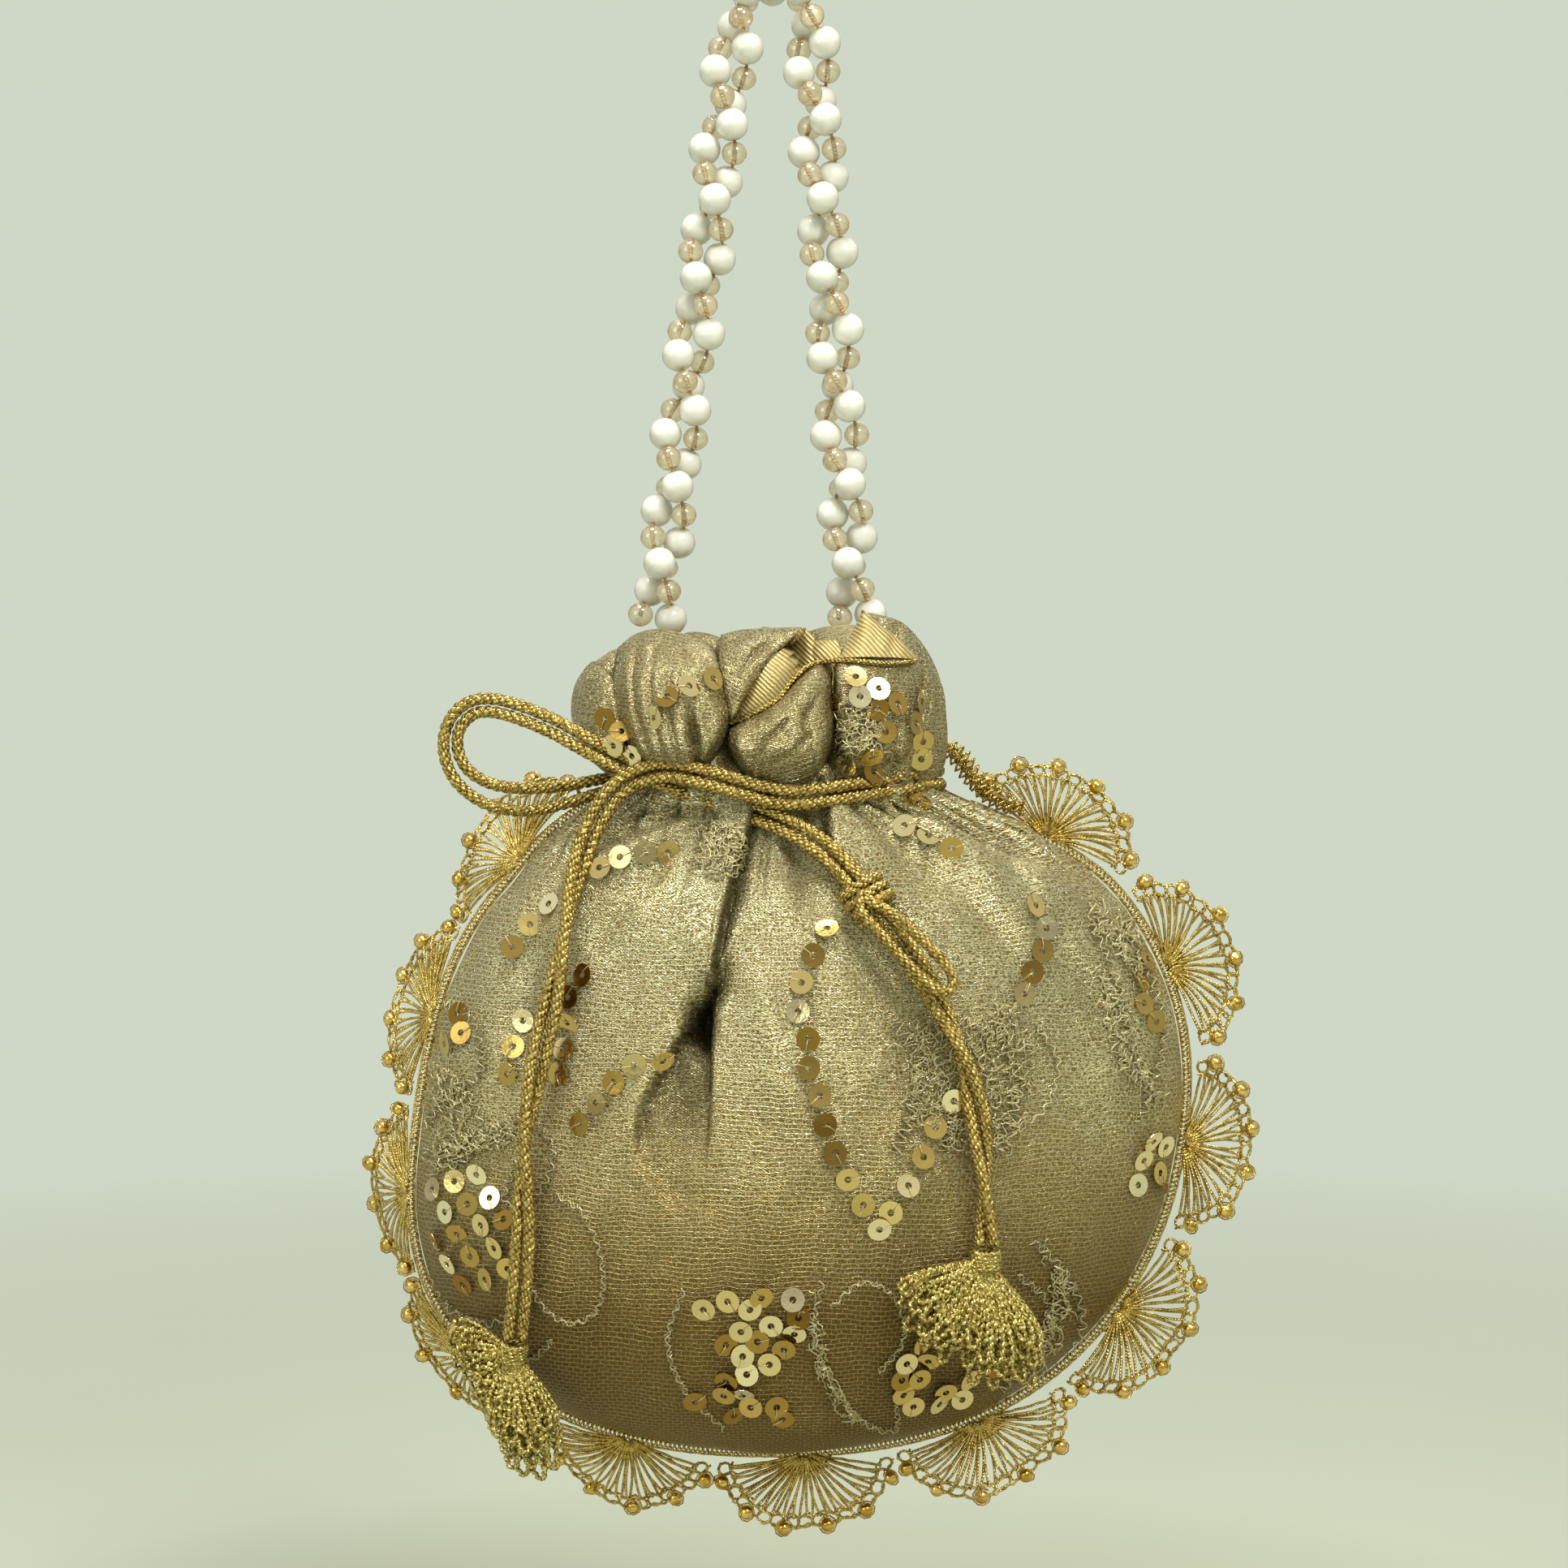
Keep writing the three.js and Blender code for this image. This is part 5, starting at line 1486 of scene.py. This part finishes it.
LEFT_PAIR = [
    (40.6, -6.6, -191.6, 0, 1), (36.2, -13.6, -192.2, 0, 1), (28.6, -19.8, -193.4, 0, 1),
    (19.0, -25.0, -194.8, 0, 1),
    (11.0, -28.4, -196.0, 0, 1), (4.0, -30.2, -196.4, 0, 1), (-3.0, -30.8, -195.2, 0, 1),
    (-10.5, -30.4, -193.0, 0, 1),
    (-18.0, -29.2, -191.0, 0, 1), (-25.5, -27.4, -189.9, 0, 1), (-32.0, -24.4, -191.4, 0, 1),
    (-37.2, -22.8, -194.8, 0, 1),
    (-41.0, -22.6, -200.0, 0, 1), (-44.0, -23.4, -206.4, 20, 1), (-46.6, -26.0, -215.3, 55, 1),
    (-48.9, -30.4, -228.5, 100, 1), (-51.6, -32.2, -243.6, 150, 1), (-54.2, -32.2, -255.1, 190, 1),
    (-56.2, -32.0, -265.6, 230, 1), (-57.8, -31.8, -276.0, 270, 1), (-58.2, -31.6, -286.0, 305, 1),
    (-58.3, -31.2, -296.0, 335, 1), (-59.0, -30.0, -308.0, 360, 1), (-60.2, -27.4, -318.5, 360, 1),
    (-60.8, -26.2, -324.0, 360, 1),
]
RIGHT_PAIR = [
    (-41.8, -5.0, -193.6, 0, 1), (-50.0, -7.0, -195.6, 0, 1.3), (-59.5, -9.4, -197.0, 0, 1.7),
    (-68.2, -10.8, -195.8, 0, 1.6), (-74.6, -11.6, -191.8, 0, 1.3), (-77.6, -12.2, -186.2, 0, 1.1),
    (-77.4, -12.8, -180.2, 0, 1), (-74.2, -13.6, -175.8, 0, 1), (-69.2, -14.4, -174.2, 0, 1),
    (-62.0, -15.6, -175.6, 0, 1), (-52.6, -17.4, -179.4, 0, 1), (-43.0, -19.4, -184.6, 0, 1),
    (-34.0, -20.8, -189.0, 0, 1), (-24.5, -23.0, -192.4, 0, 1), (-14.5, -25.2, -196.2, 0, 1),
    (-5.0, -26.6, -199.6, 0, 1), (3.4, -29.4, -203.0, 0, 1), (11.0, -32.2, -207.6, 0, 1),
    (16.7, -34.8, -213.0, 0, 1),
    (22.0, -36.8, -219.6, 0, 1), (27.6, -38.0, -227.0, 0, 1), (33.3, -38.6, -235.4, 0, 1),
    (37.2, -38.8, -242.0, 25, 1),
    (41.4, -39.0, -250.0, 70, 1), (44.8, -39.0, -259.0, 120, 1), (47.2, -38.8, -269.5, 175, 1),
    (48.6, -38.2, -281.0, 235, 1), (49.2, -37.6, -291.0, 290, 1), (49.4, -36.8, -300.0, 360, 1),
]
STRAND_SPACING = CORD_DIAMETER + 2 * SEAT_GAP
PAIR_TIGHTNESS = 0.86
KNOT_POINT = len(RIGHT_PAIR) - 10
KNOT_LOOP = [
    (21.6, -41.2, -219.6), (27.5, -42.6, -223.0), (35.0, -43.2, -229.6), (40.6, -43.0, -236.0),
    (41.0, -43.0, -240.0),
    (37.4, -43.0, -240.2), (31.5, -43.2, -235.0), (25.2, -42.6, -228.0), (20.4, -41.2, -222.2),
]


def pair_frames(route):
    """A pair's route, with its direction, the way to the front and the way across."""
    points = np.array([r[:3] for r in route], float)
    along = unit(np.gradient(points, axis=0))
    front = unit(np.array([0.0, -1.0, 0.0]) + along * along[:, 1:2])
    return points, along, front, np.cross(along, front)


def cord_centres(route, side):
    """One strand of a pair, from the casing inside the gathered neck to its tassel."""
    points, _, front, across = pair_frames(route)
    lay = np.radians([r[3] for r in route])[:, None]
    reach = side * np.array([r[4] for r in route])[:, None] * STRAND_SPACING * PAIR_TIGHTNESS / 2
    line = points + across * reach * np.cos(lay) + front * reach * np.sin(lay)
    inward = -math.copysign(1, line[0][0])
    casing = line[0] + np.array([[inward * 9, 8.5, -0.4], [inward * 4, 4.6, -0.2]])
    return spline(np.vstack([casing, line]), 280)


def rope(tubes, line, diameter, plies=3, pitch=6.0, step=0.62, sides=6, phase=0.0):
    """A cord of plies laid round its line."""
    line = resample(line, step)
    _, normal, over = frames(line)
    run = run_along(line)
    ply = diameter * 0.245
    lay = diameter / 2 - ply
    for p in range(plies):
        a = TURN * (run / pitch + p / plies) + phase
        tubes.add(line + lay * (normal * np.cos(a)[:, None] + over * np.sin(a)[:, None]), ply * 1.16, sides)
    return line


def make_cord(name, route, side, phase):
    tubes = Tubes()
    path = rope(tubes, cord_centres(route, side), CORD_DIAMETER * 0.98, phase=phase)
    return tubes.make(name, cord_gold), path


cords = {}
for pair, route in ("left", LEFT_PAIR), ("right", RIGHT_PAIR):
    for strand, side in ("a", 1), ("b", -1):
        name = f"{pair}_{strand}"
        cords[name] = make_cord(f"cord_{name}", route, side, rng.uniform(0, TURN))


def make_knot():
    """Three turns wrapped flat round the right pair, with a small loop pulled out of them."""
    tubes = Tubes()
    points, along, front, across = pair_frames(RIGHT_PAIR)
    at, way, out, side = points[KNOT_POINT], along[KNOT_POINT], front[KNOT_POINT], across[KNOT_POINT]
    a = np.linspace(0, TURN * 3, 80)
    wide = CORD_DIAMETER + 2 * SEAT_GAP + 0.35 * CORD_DIAMETER
    deep = CORD_DIAMETER / 2 + SEAT_GAP + 0.45 * CORD_DIAMETER
    line = (
        at
        + side * (wide * np.cos(a))[:, None]
        + out * (deep * np.sin(a))[:, None]
        + way * (KNOT_LENGTH * (a / a[-1] - 0.5) * 0.85)[:, None]
    )
    rope(tubes, line, CORD_DIAMETER * 0.86, phase=1.0)
    loop = np.vstack([at + out * 3.2, KNOT_LOOP, at + out * 3.0 - way * 2])
    rope(tubes, spline(loop, 120), CORD_DIAMETER * 0.86, phase=2.0)
    return tubes.make("slip_knot_cord", cord_gold)


knot = make_knot()


# Tassels


CHAIN_STEP, CHAIN_LINK = 0.48, 1.7
# Layers of loops from front to back: how far forward, how long, and how far set off between the tips.
TASSEL_LAYERS = [(2.6, 0.97, 0.0), (-0.4, 0.92, 0.5), (-3.4, 0.78, 0.25)]


def chain_loop(tubes, collar, axis, share, width):
    """A long loop of knotted chain that hangs from the collar along an axis."""
    side = unit(np.cross(axis, [0.0, 1.0, 0.0]))
    over = unit(np.cross(side, axis))
    phi = np.linspace(-0.93, 0.93, 40) * math.pi
    run = 0.5 * (1 + np.cos(phi))
    line = (
        collar
        + axis * (0.04 + (share - 0.04) * run)[:, None]
        + side * (width * np.sin(phi) * (0.3 + 0.8 * run))[:, None]
        + over * (0.9 * np.sin(2 * phi + rng.uniform(0, TURN)) * run)[:, None]
    )
    line = resample(line, CHAIN_STEP)
    turn = np.arange(len(line)) * CHAIN_STEP / CHAIN_LINK * TURN + rng.uniform(0, TURN)
    line = line + side * (0.3 * np.cos(turn))[:, None] + over * (0.3 * np.sin(turn))[:, None]
    tubes.add(line, 0.42 + 0.22 * np.abs(np.sin(turn / 2)), 5)


def make_tassel(name, route, tips):
    """A ruffled bell of long loops of knotted chain, three deep, that hang from a wrapped collar."""
    tubes = Tubes()
    _, along, front, across = pair_frames(route)
    at, way, out, side = np.array(route[-1][:3]), along[-1], front[-1], across[-1]
    collar = at + way * 3.4
    a = np.linspace(0, TURN * 5, 130)
    down = (a / a[-1] - 0.5) * 4.4
    wrap = collar + side * (2.9 * np.cos(a))[:, None] + out * (2.7 * np.sin(a))[:, None] + way * down[:, None]
    rope(tubes, wrap, 1.5, plies=2, pitch=2.4, step=0.7, sides=5)
    tips = np.array(tips, float)
    places = np.arange(len(tips))
    for push, reach, offset in TASSEL_LAYERS:
        for k in range(len(tips) - (1 if offset else 0)):
            tip = np.array([np.interp(k + offset, places, tips[:, i]) for i in range(3)])
            tip = tip + [0, push, 0] + rng.normal(size=3) * 0.5
            axis = (tip - collar) * reach * rng.uniform(0.93, 1.03)
            for share, width in ((1.0, rng.uniform(1.9, 2.6)), (0.82, rng.uniform(0.6, 1.0))):
                chain_loop(tubes, collar, axis, share, width)
    return tubes.make(name, tassel_gold)


tassel_left = make_tassel(
    "tassel_left_loops", LEFT_PAIR,
    [(-76, -22, -320.6), (-78.4, -21, -325.6), (-76, -21.6, -331.6), (-72.8, -22.6, -337.8),
     (-68.4, -23.6, -343.4), (-65.4, -24.6, -350),
     (-62.6, -25.4, -355.6), (-58.8, -25.6, -358.8), (-54.8, -25.4, -358.4), (-51.2, -25, -356),
     (-49.8, -25, -351), (-51.6, -25.6, -345)],
)
tassel_right = make_tassel(
    "tassel_right_loops", RIGHT_PAIR,
    [(28, -42.6, -308.6), (27.6, -43, -313), (30, -43, -318), (33.4, -43, -323.2), (38.2, -42.4, -326.4),
     (43.4, -41.4, -327), (46.8, -39.6, -332),
     (51, -38.4, -334), (55.4, -37.4, -333.6), (59.8, -36.6, -332.6), (63.4, -36, -329),
     (62.6, -36.6, -323)],
)


# Mouth: lining and braid


# The lining's rows: the share along the frill's profile, and how far they rise over it.
LINING_ROWS = [(0.80, 0.6), (0.84, 2.2), (0.88, 3.6), (0.92, 4.6), (0.95, 4.4), (0.98, 3.2), (1.0, 2.6)]


def make_lining():
    """The satin's fluted edge inside the mouth, closed in the middle."""
    profile = spline(FRILL_PROFILE, 2001)
    shares = np.arange(288) / 288
    rows = []
    for along, rise in LINING_ROWS:
        flute = 0.7 + 0.3 * np.cos(TURN * 26 * shares) * (1 if rise < 4.5 else 0.6)
        ring = frill_surface(np.full(len(shares), along), shares, profile)
        ring[:, 2] += SEAT_GAP * 3.4 + LINING_THICKNESS / 5 * rise * flute
        rows.append(ring)
    count = len(shares)
    faces = ring_faces(len(rows), count).tolist()
    points = np.vstack(rows + [rows[-1].mean(0)])
    end = len(points) - 1
    last = end - count
    faces += [[end, last + (i + 1) % count, last + i] for i in range(count)]
    obj = add_mesh("lining_ruffle", points, faces, satin)
    across = np.tile(np.linspace(0, 150, count), len(rows))
    down = np.repeat(np.arange(len(rows)) * 2.0, count)
    set_uv(obj, np.vstack([np.stack([across, down], 1), [[0, 12]]]))
    return obj


lining = make_lining()


# Where the mouth's edge is turned out over the lobes, the braid shows in front.
PIPING = [
    (-10.4, -178.8), (-4.4, -175.7), (1.6, -171.9), (6.8, -166.7), (10.5, -163.9), (14.6, -163.2),
    (19.4, -163.3), (26.8, -164),
    (31.6, -163.8), (35.3, -163),
]


def make_braid():
    """Piping round the mouth, and in front where the mouth's edge folds out over the lobes."""
    tubes = Tubes()
    profile = spline(FRILL_PROFILE, 2001)
    shares = np.arange(200) / 200
    ring = frill_surface(np.full(200, 0.75), shares, profile)
    ring[:, 2] += EDGE_BRAID_DIAMETER * 0.75 + SEAT_GAP
    line = resample(np.vstack([ring, ring[:1]]), 0.5)
    rope(tubes, line, EDGE_BRAID_DIAMETER, plies=2, pitch=2.6, step=0.5, sides=5)
    path = [land(x, z, 0.8)[0] for x, z in spline(PIPING, 90)]
    path = np.array([p for p in path if p is not None])
    path = np.pad(path, ((4, 4), (0, 0)), mode="edge")
    path = np.stack([np.convolve(path[:, i], np.ones(9) / 9, mode="valid") for i in range(3)], 1)
    rope(tubes, path, EDGE_BRAID_DIAMETER * 0.86, plies=2, pitch=2.2, step=0.42, sides=6)
    return tubes.make("mouth_braid_rope", cord_gold)


braid = make_braid()


def satin_patch(name, rails, rows=20, columns=16, lift=0.5, swell=1.4):
    """Lining turned out over the cloth. rails are pairs of its left and right edge points."""
    left = spline([r[0] for r in rails], rows + 1)
    right = spline([r[1] for r in rails], rows + 1)
    points, faces, uv = [], [], []
    for r in range(rows + 1):
        for c in range(columns + 1):
            s = c / columns
            q = left[r] + (right[r] - left[r]) * s
            bulge = lift + swell * math.sin(math.pi * s) * math.sin(math.pi * (0.1 + 0.8 * r / rows))
            # where it stands up past the cloth's top, it goes on straight up
            for above in np.arange(0, 12, 0.5):
                at, _ = land(q[0], q[1] - above, bulge)
                if at is not None:
                    break
            points.append(at + [0, 0, above])
            uv.append((q[0] * 0.75 + q[1] * 0.75, q[1]))
    width = columns + 1
    for r in range(rows):
        for c in range(columns):
            faces.append([r * width + c, (r + 1) * width + c, (r + 1) * width + c + 1, r * width + c + 1])
    obj = add_mesh(name, points, faces, satin)
    set_uv(obj, uv)
    return obj


flap = satin_patch(
    "lining_flap",
    [
        [(22.2, -150.9), (22.2, -150.9)], [(20.6, -154.4), (26, -154)],
        [(18.4, -158.6), (31, -158)], [(16.6, -162.4), (35, -162.6)],
    ],
)
flap_turned = satin_patch(
    "lining_turned_edge",
    [
        [(7, -154.8), (10.2, -156.8)], [(2.8, -159.4), (10.2, -163)], [(-1.2, -163.6), (6.8, -166.2)],
        [(-4.6, -168.6), (1.6, -171.4)], [(-7.4, -173.6), (-4.3, -175.1)], [(-10.4, -177.9),
                                                                            (-10.2, -178.3)],
    ],
    lift=0.5, swell=0.7,
)
flap_back = satin_patch(
    "lining_back_fold",
    [[(9.2, -158.2), (15.6, -158)], [(8.8, -160.6), (16.6, -160.4)], [(9, -163.2), (17, -163)]],
    lift=0.2, swell=1.0,
)


# Which body each piece moves with, and what it stands for

ON_POUCH = {
    cloth: "tissue", sequin_piece: "tissue", sequin_thread: "tissue",
    front_embroidery: "tissue", back_embroidery: "tissue",
    lace_threads: "lace", lace_beads: "lace", knot: "cord", tassel_left: "tassel", tassel_right: "tassel",
    lining: "satin", flap: "satin", flap_turned: "satin", flap_back: "satin", braid: "braid",
}
for piece, slot in ON_POUCH.items():
    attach(piece, "pouch")
for name, (piece, path) in cords.items():
    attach(piece, "pouch")
    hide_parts(f"drawcord_{name}")
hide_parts("pouch_body")
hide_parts("mouth_lining")
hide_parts("mouth_braid")
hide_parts("lace_trim")
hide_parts("slip_knot")
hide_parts("tassel_left")
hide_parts("tassel_right")


# Floor and light

PALE = rgb(207, 216, 198)
FLOOR_SIZE, FLOOR_LEVEL = 12000.0, -470.0


def make_floor():
    """A floor far below the bag that melts into the wall's pale colour."""
    n = new_material("floor")
    where = n.place()
    away = n.node("ShaderNodeVectorMath", {0: where}, operation="LENGTH").outputs["Value"]
    grain = n.noise(where, 6.0, 3.0)
    colour = n.mix(grain, rgb(182, 188, 170), rgb(188, 194, 176))
    # painted shadow: the floor is darker and browner in the patch below the bag, fading out by 0.6 m from the
    # hang point
    colour = n.mix(n.remap(away, 0.46, 0.6, 0.75, 0.0), colour, rgb(150, 144, 118))
    n.surface(Base_Color=colour, Roughness=0.9)
    glow = n.node("ShaderNodeEmission", {"Color": PALE, "Strength": 1.0}).outputs[0]
    ray = n.node("ShaderNodeLightPath").outputs
    seen = n.math("MAXIMUM", ray["Is Glossy Ray"], ray["Is Transmission Ray"])
    seen = n.math("MAXIMUM", ray["Is Camera Ray"], seen)
    share = n.times(n.remap(away, 0.55, 1.3), seen)
    both = n.node("ShaderNodeMixShader", {0: share, 1: n.shader.outputs[0], 2: glow}).outputs[0]
    n.tree.links.new(both, n.tree.nodes["Material Output"].inputs["Surface"])
    points = [(x * FLOOR_SIZE, y * FLOOR_SIZE, FLOOR_LEVEL) for x, y in ((-1, -1), (1, -1), (1, 1), (-1, 1))]
    return add_mesh("floor", points, [[0, 1, 2, 3]], n.owner, shade_smooth=False)


floor = make_floor()


def make_world():
    """Pale behind the bag, and brown below to bright above in what lights it."""
    world = bpy.data.worlds.new("studio")
    bpy.context.scene.world = world
    n = Nodes(world)
    n.tree.nodes.clear()
    up = n.split(n.node("ShaderNodeTexCoord").outputs["Generated"])[2]
    ramp = n.node("ShaderNodeValToRGB", {0: n.remap(up, -1, 1)})
    low, high = ramp.color_ramp.elements
    low.position, low.color = 0.44, (0.2, 0.17, 0.1, 1)
    high.position, high.color = 0.72, (0.98, 1.0, 0.9, 1)
    light = n.node("ShaderNodeBackground", {"Color": ramp.outputs[0], "Strength": 0.75}).outputs[0]
    seen = n.node("ShaderNodeBackground", {"Color": PALE, "Strength": 1.0}).outputs[0]
    ray = n.node("ShaderNodeLightPath").outputs
    direct = n.math("MAXIMUM", ray["Is Camera Ray"], ray["Is Transmission Ray"])
    both = n.node("ShaderNodeMixShader", {0: direct, 1: light, 2: seen}).outputs[0]
    n.node("ShaderNodeOutputWorld", {0: both})


make_world()


def lamp(name, place, aim, size, power, colour):
    data = bpy.data.lights.new(name, "AREA")
    data.shape = "DISK"
    data.size = size * MM
    data.energy = power
    data.color = colour
    obj = bpy.data.objects.new(name, data)
    obj.location = Vector(place) * MM
    obj.rotation_euler = (Vector(aim) - Vector(place)).to_track_quat("-Z", "Y").to_euler()
    bpy.context.scene.collection.objects.link(obj)


lamp("key", (462, -784, 632), (0, 0, -250), 308, 8.1, (1.0, 0.99, 0.93))
lamp("fill", (-620, -560, -40), (0, 0, -260), 500, 1.1, (0.97, 1.0, 0.95))
lamp("top", (-85, -240, 700), (0, 0, -230), 370, 7.4, (1.0, 1.0, 0.95))
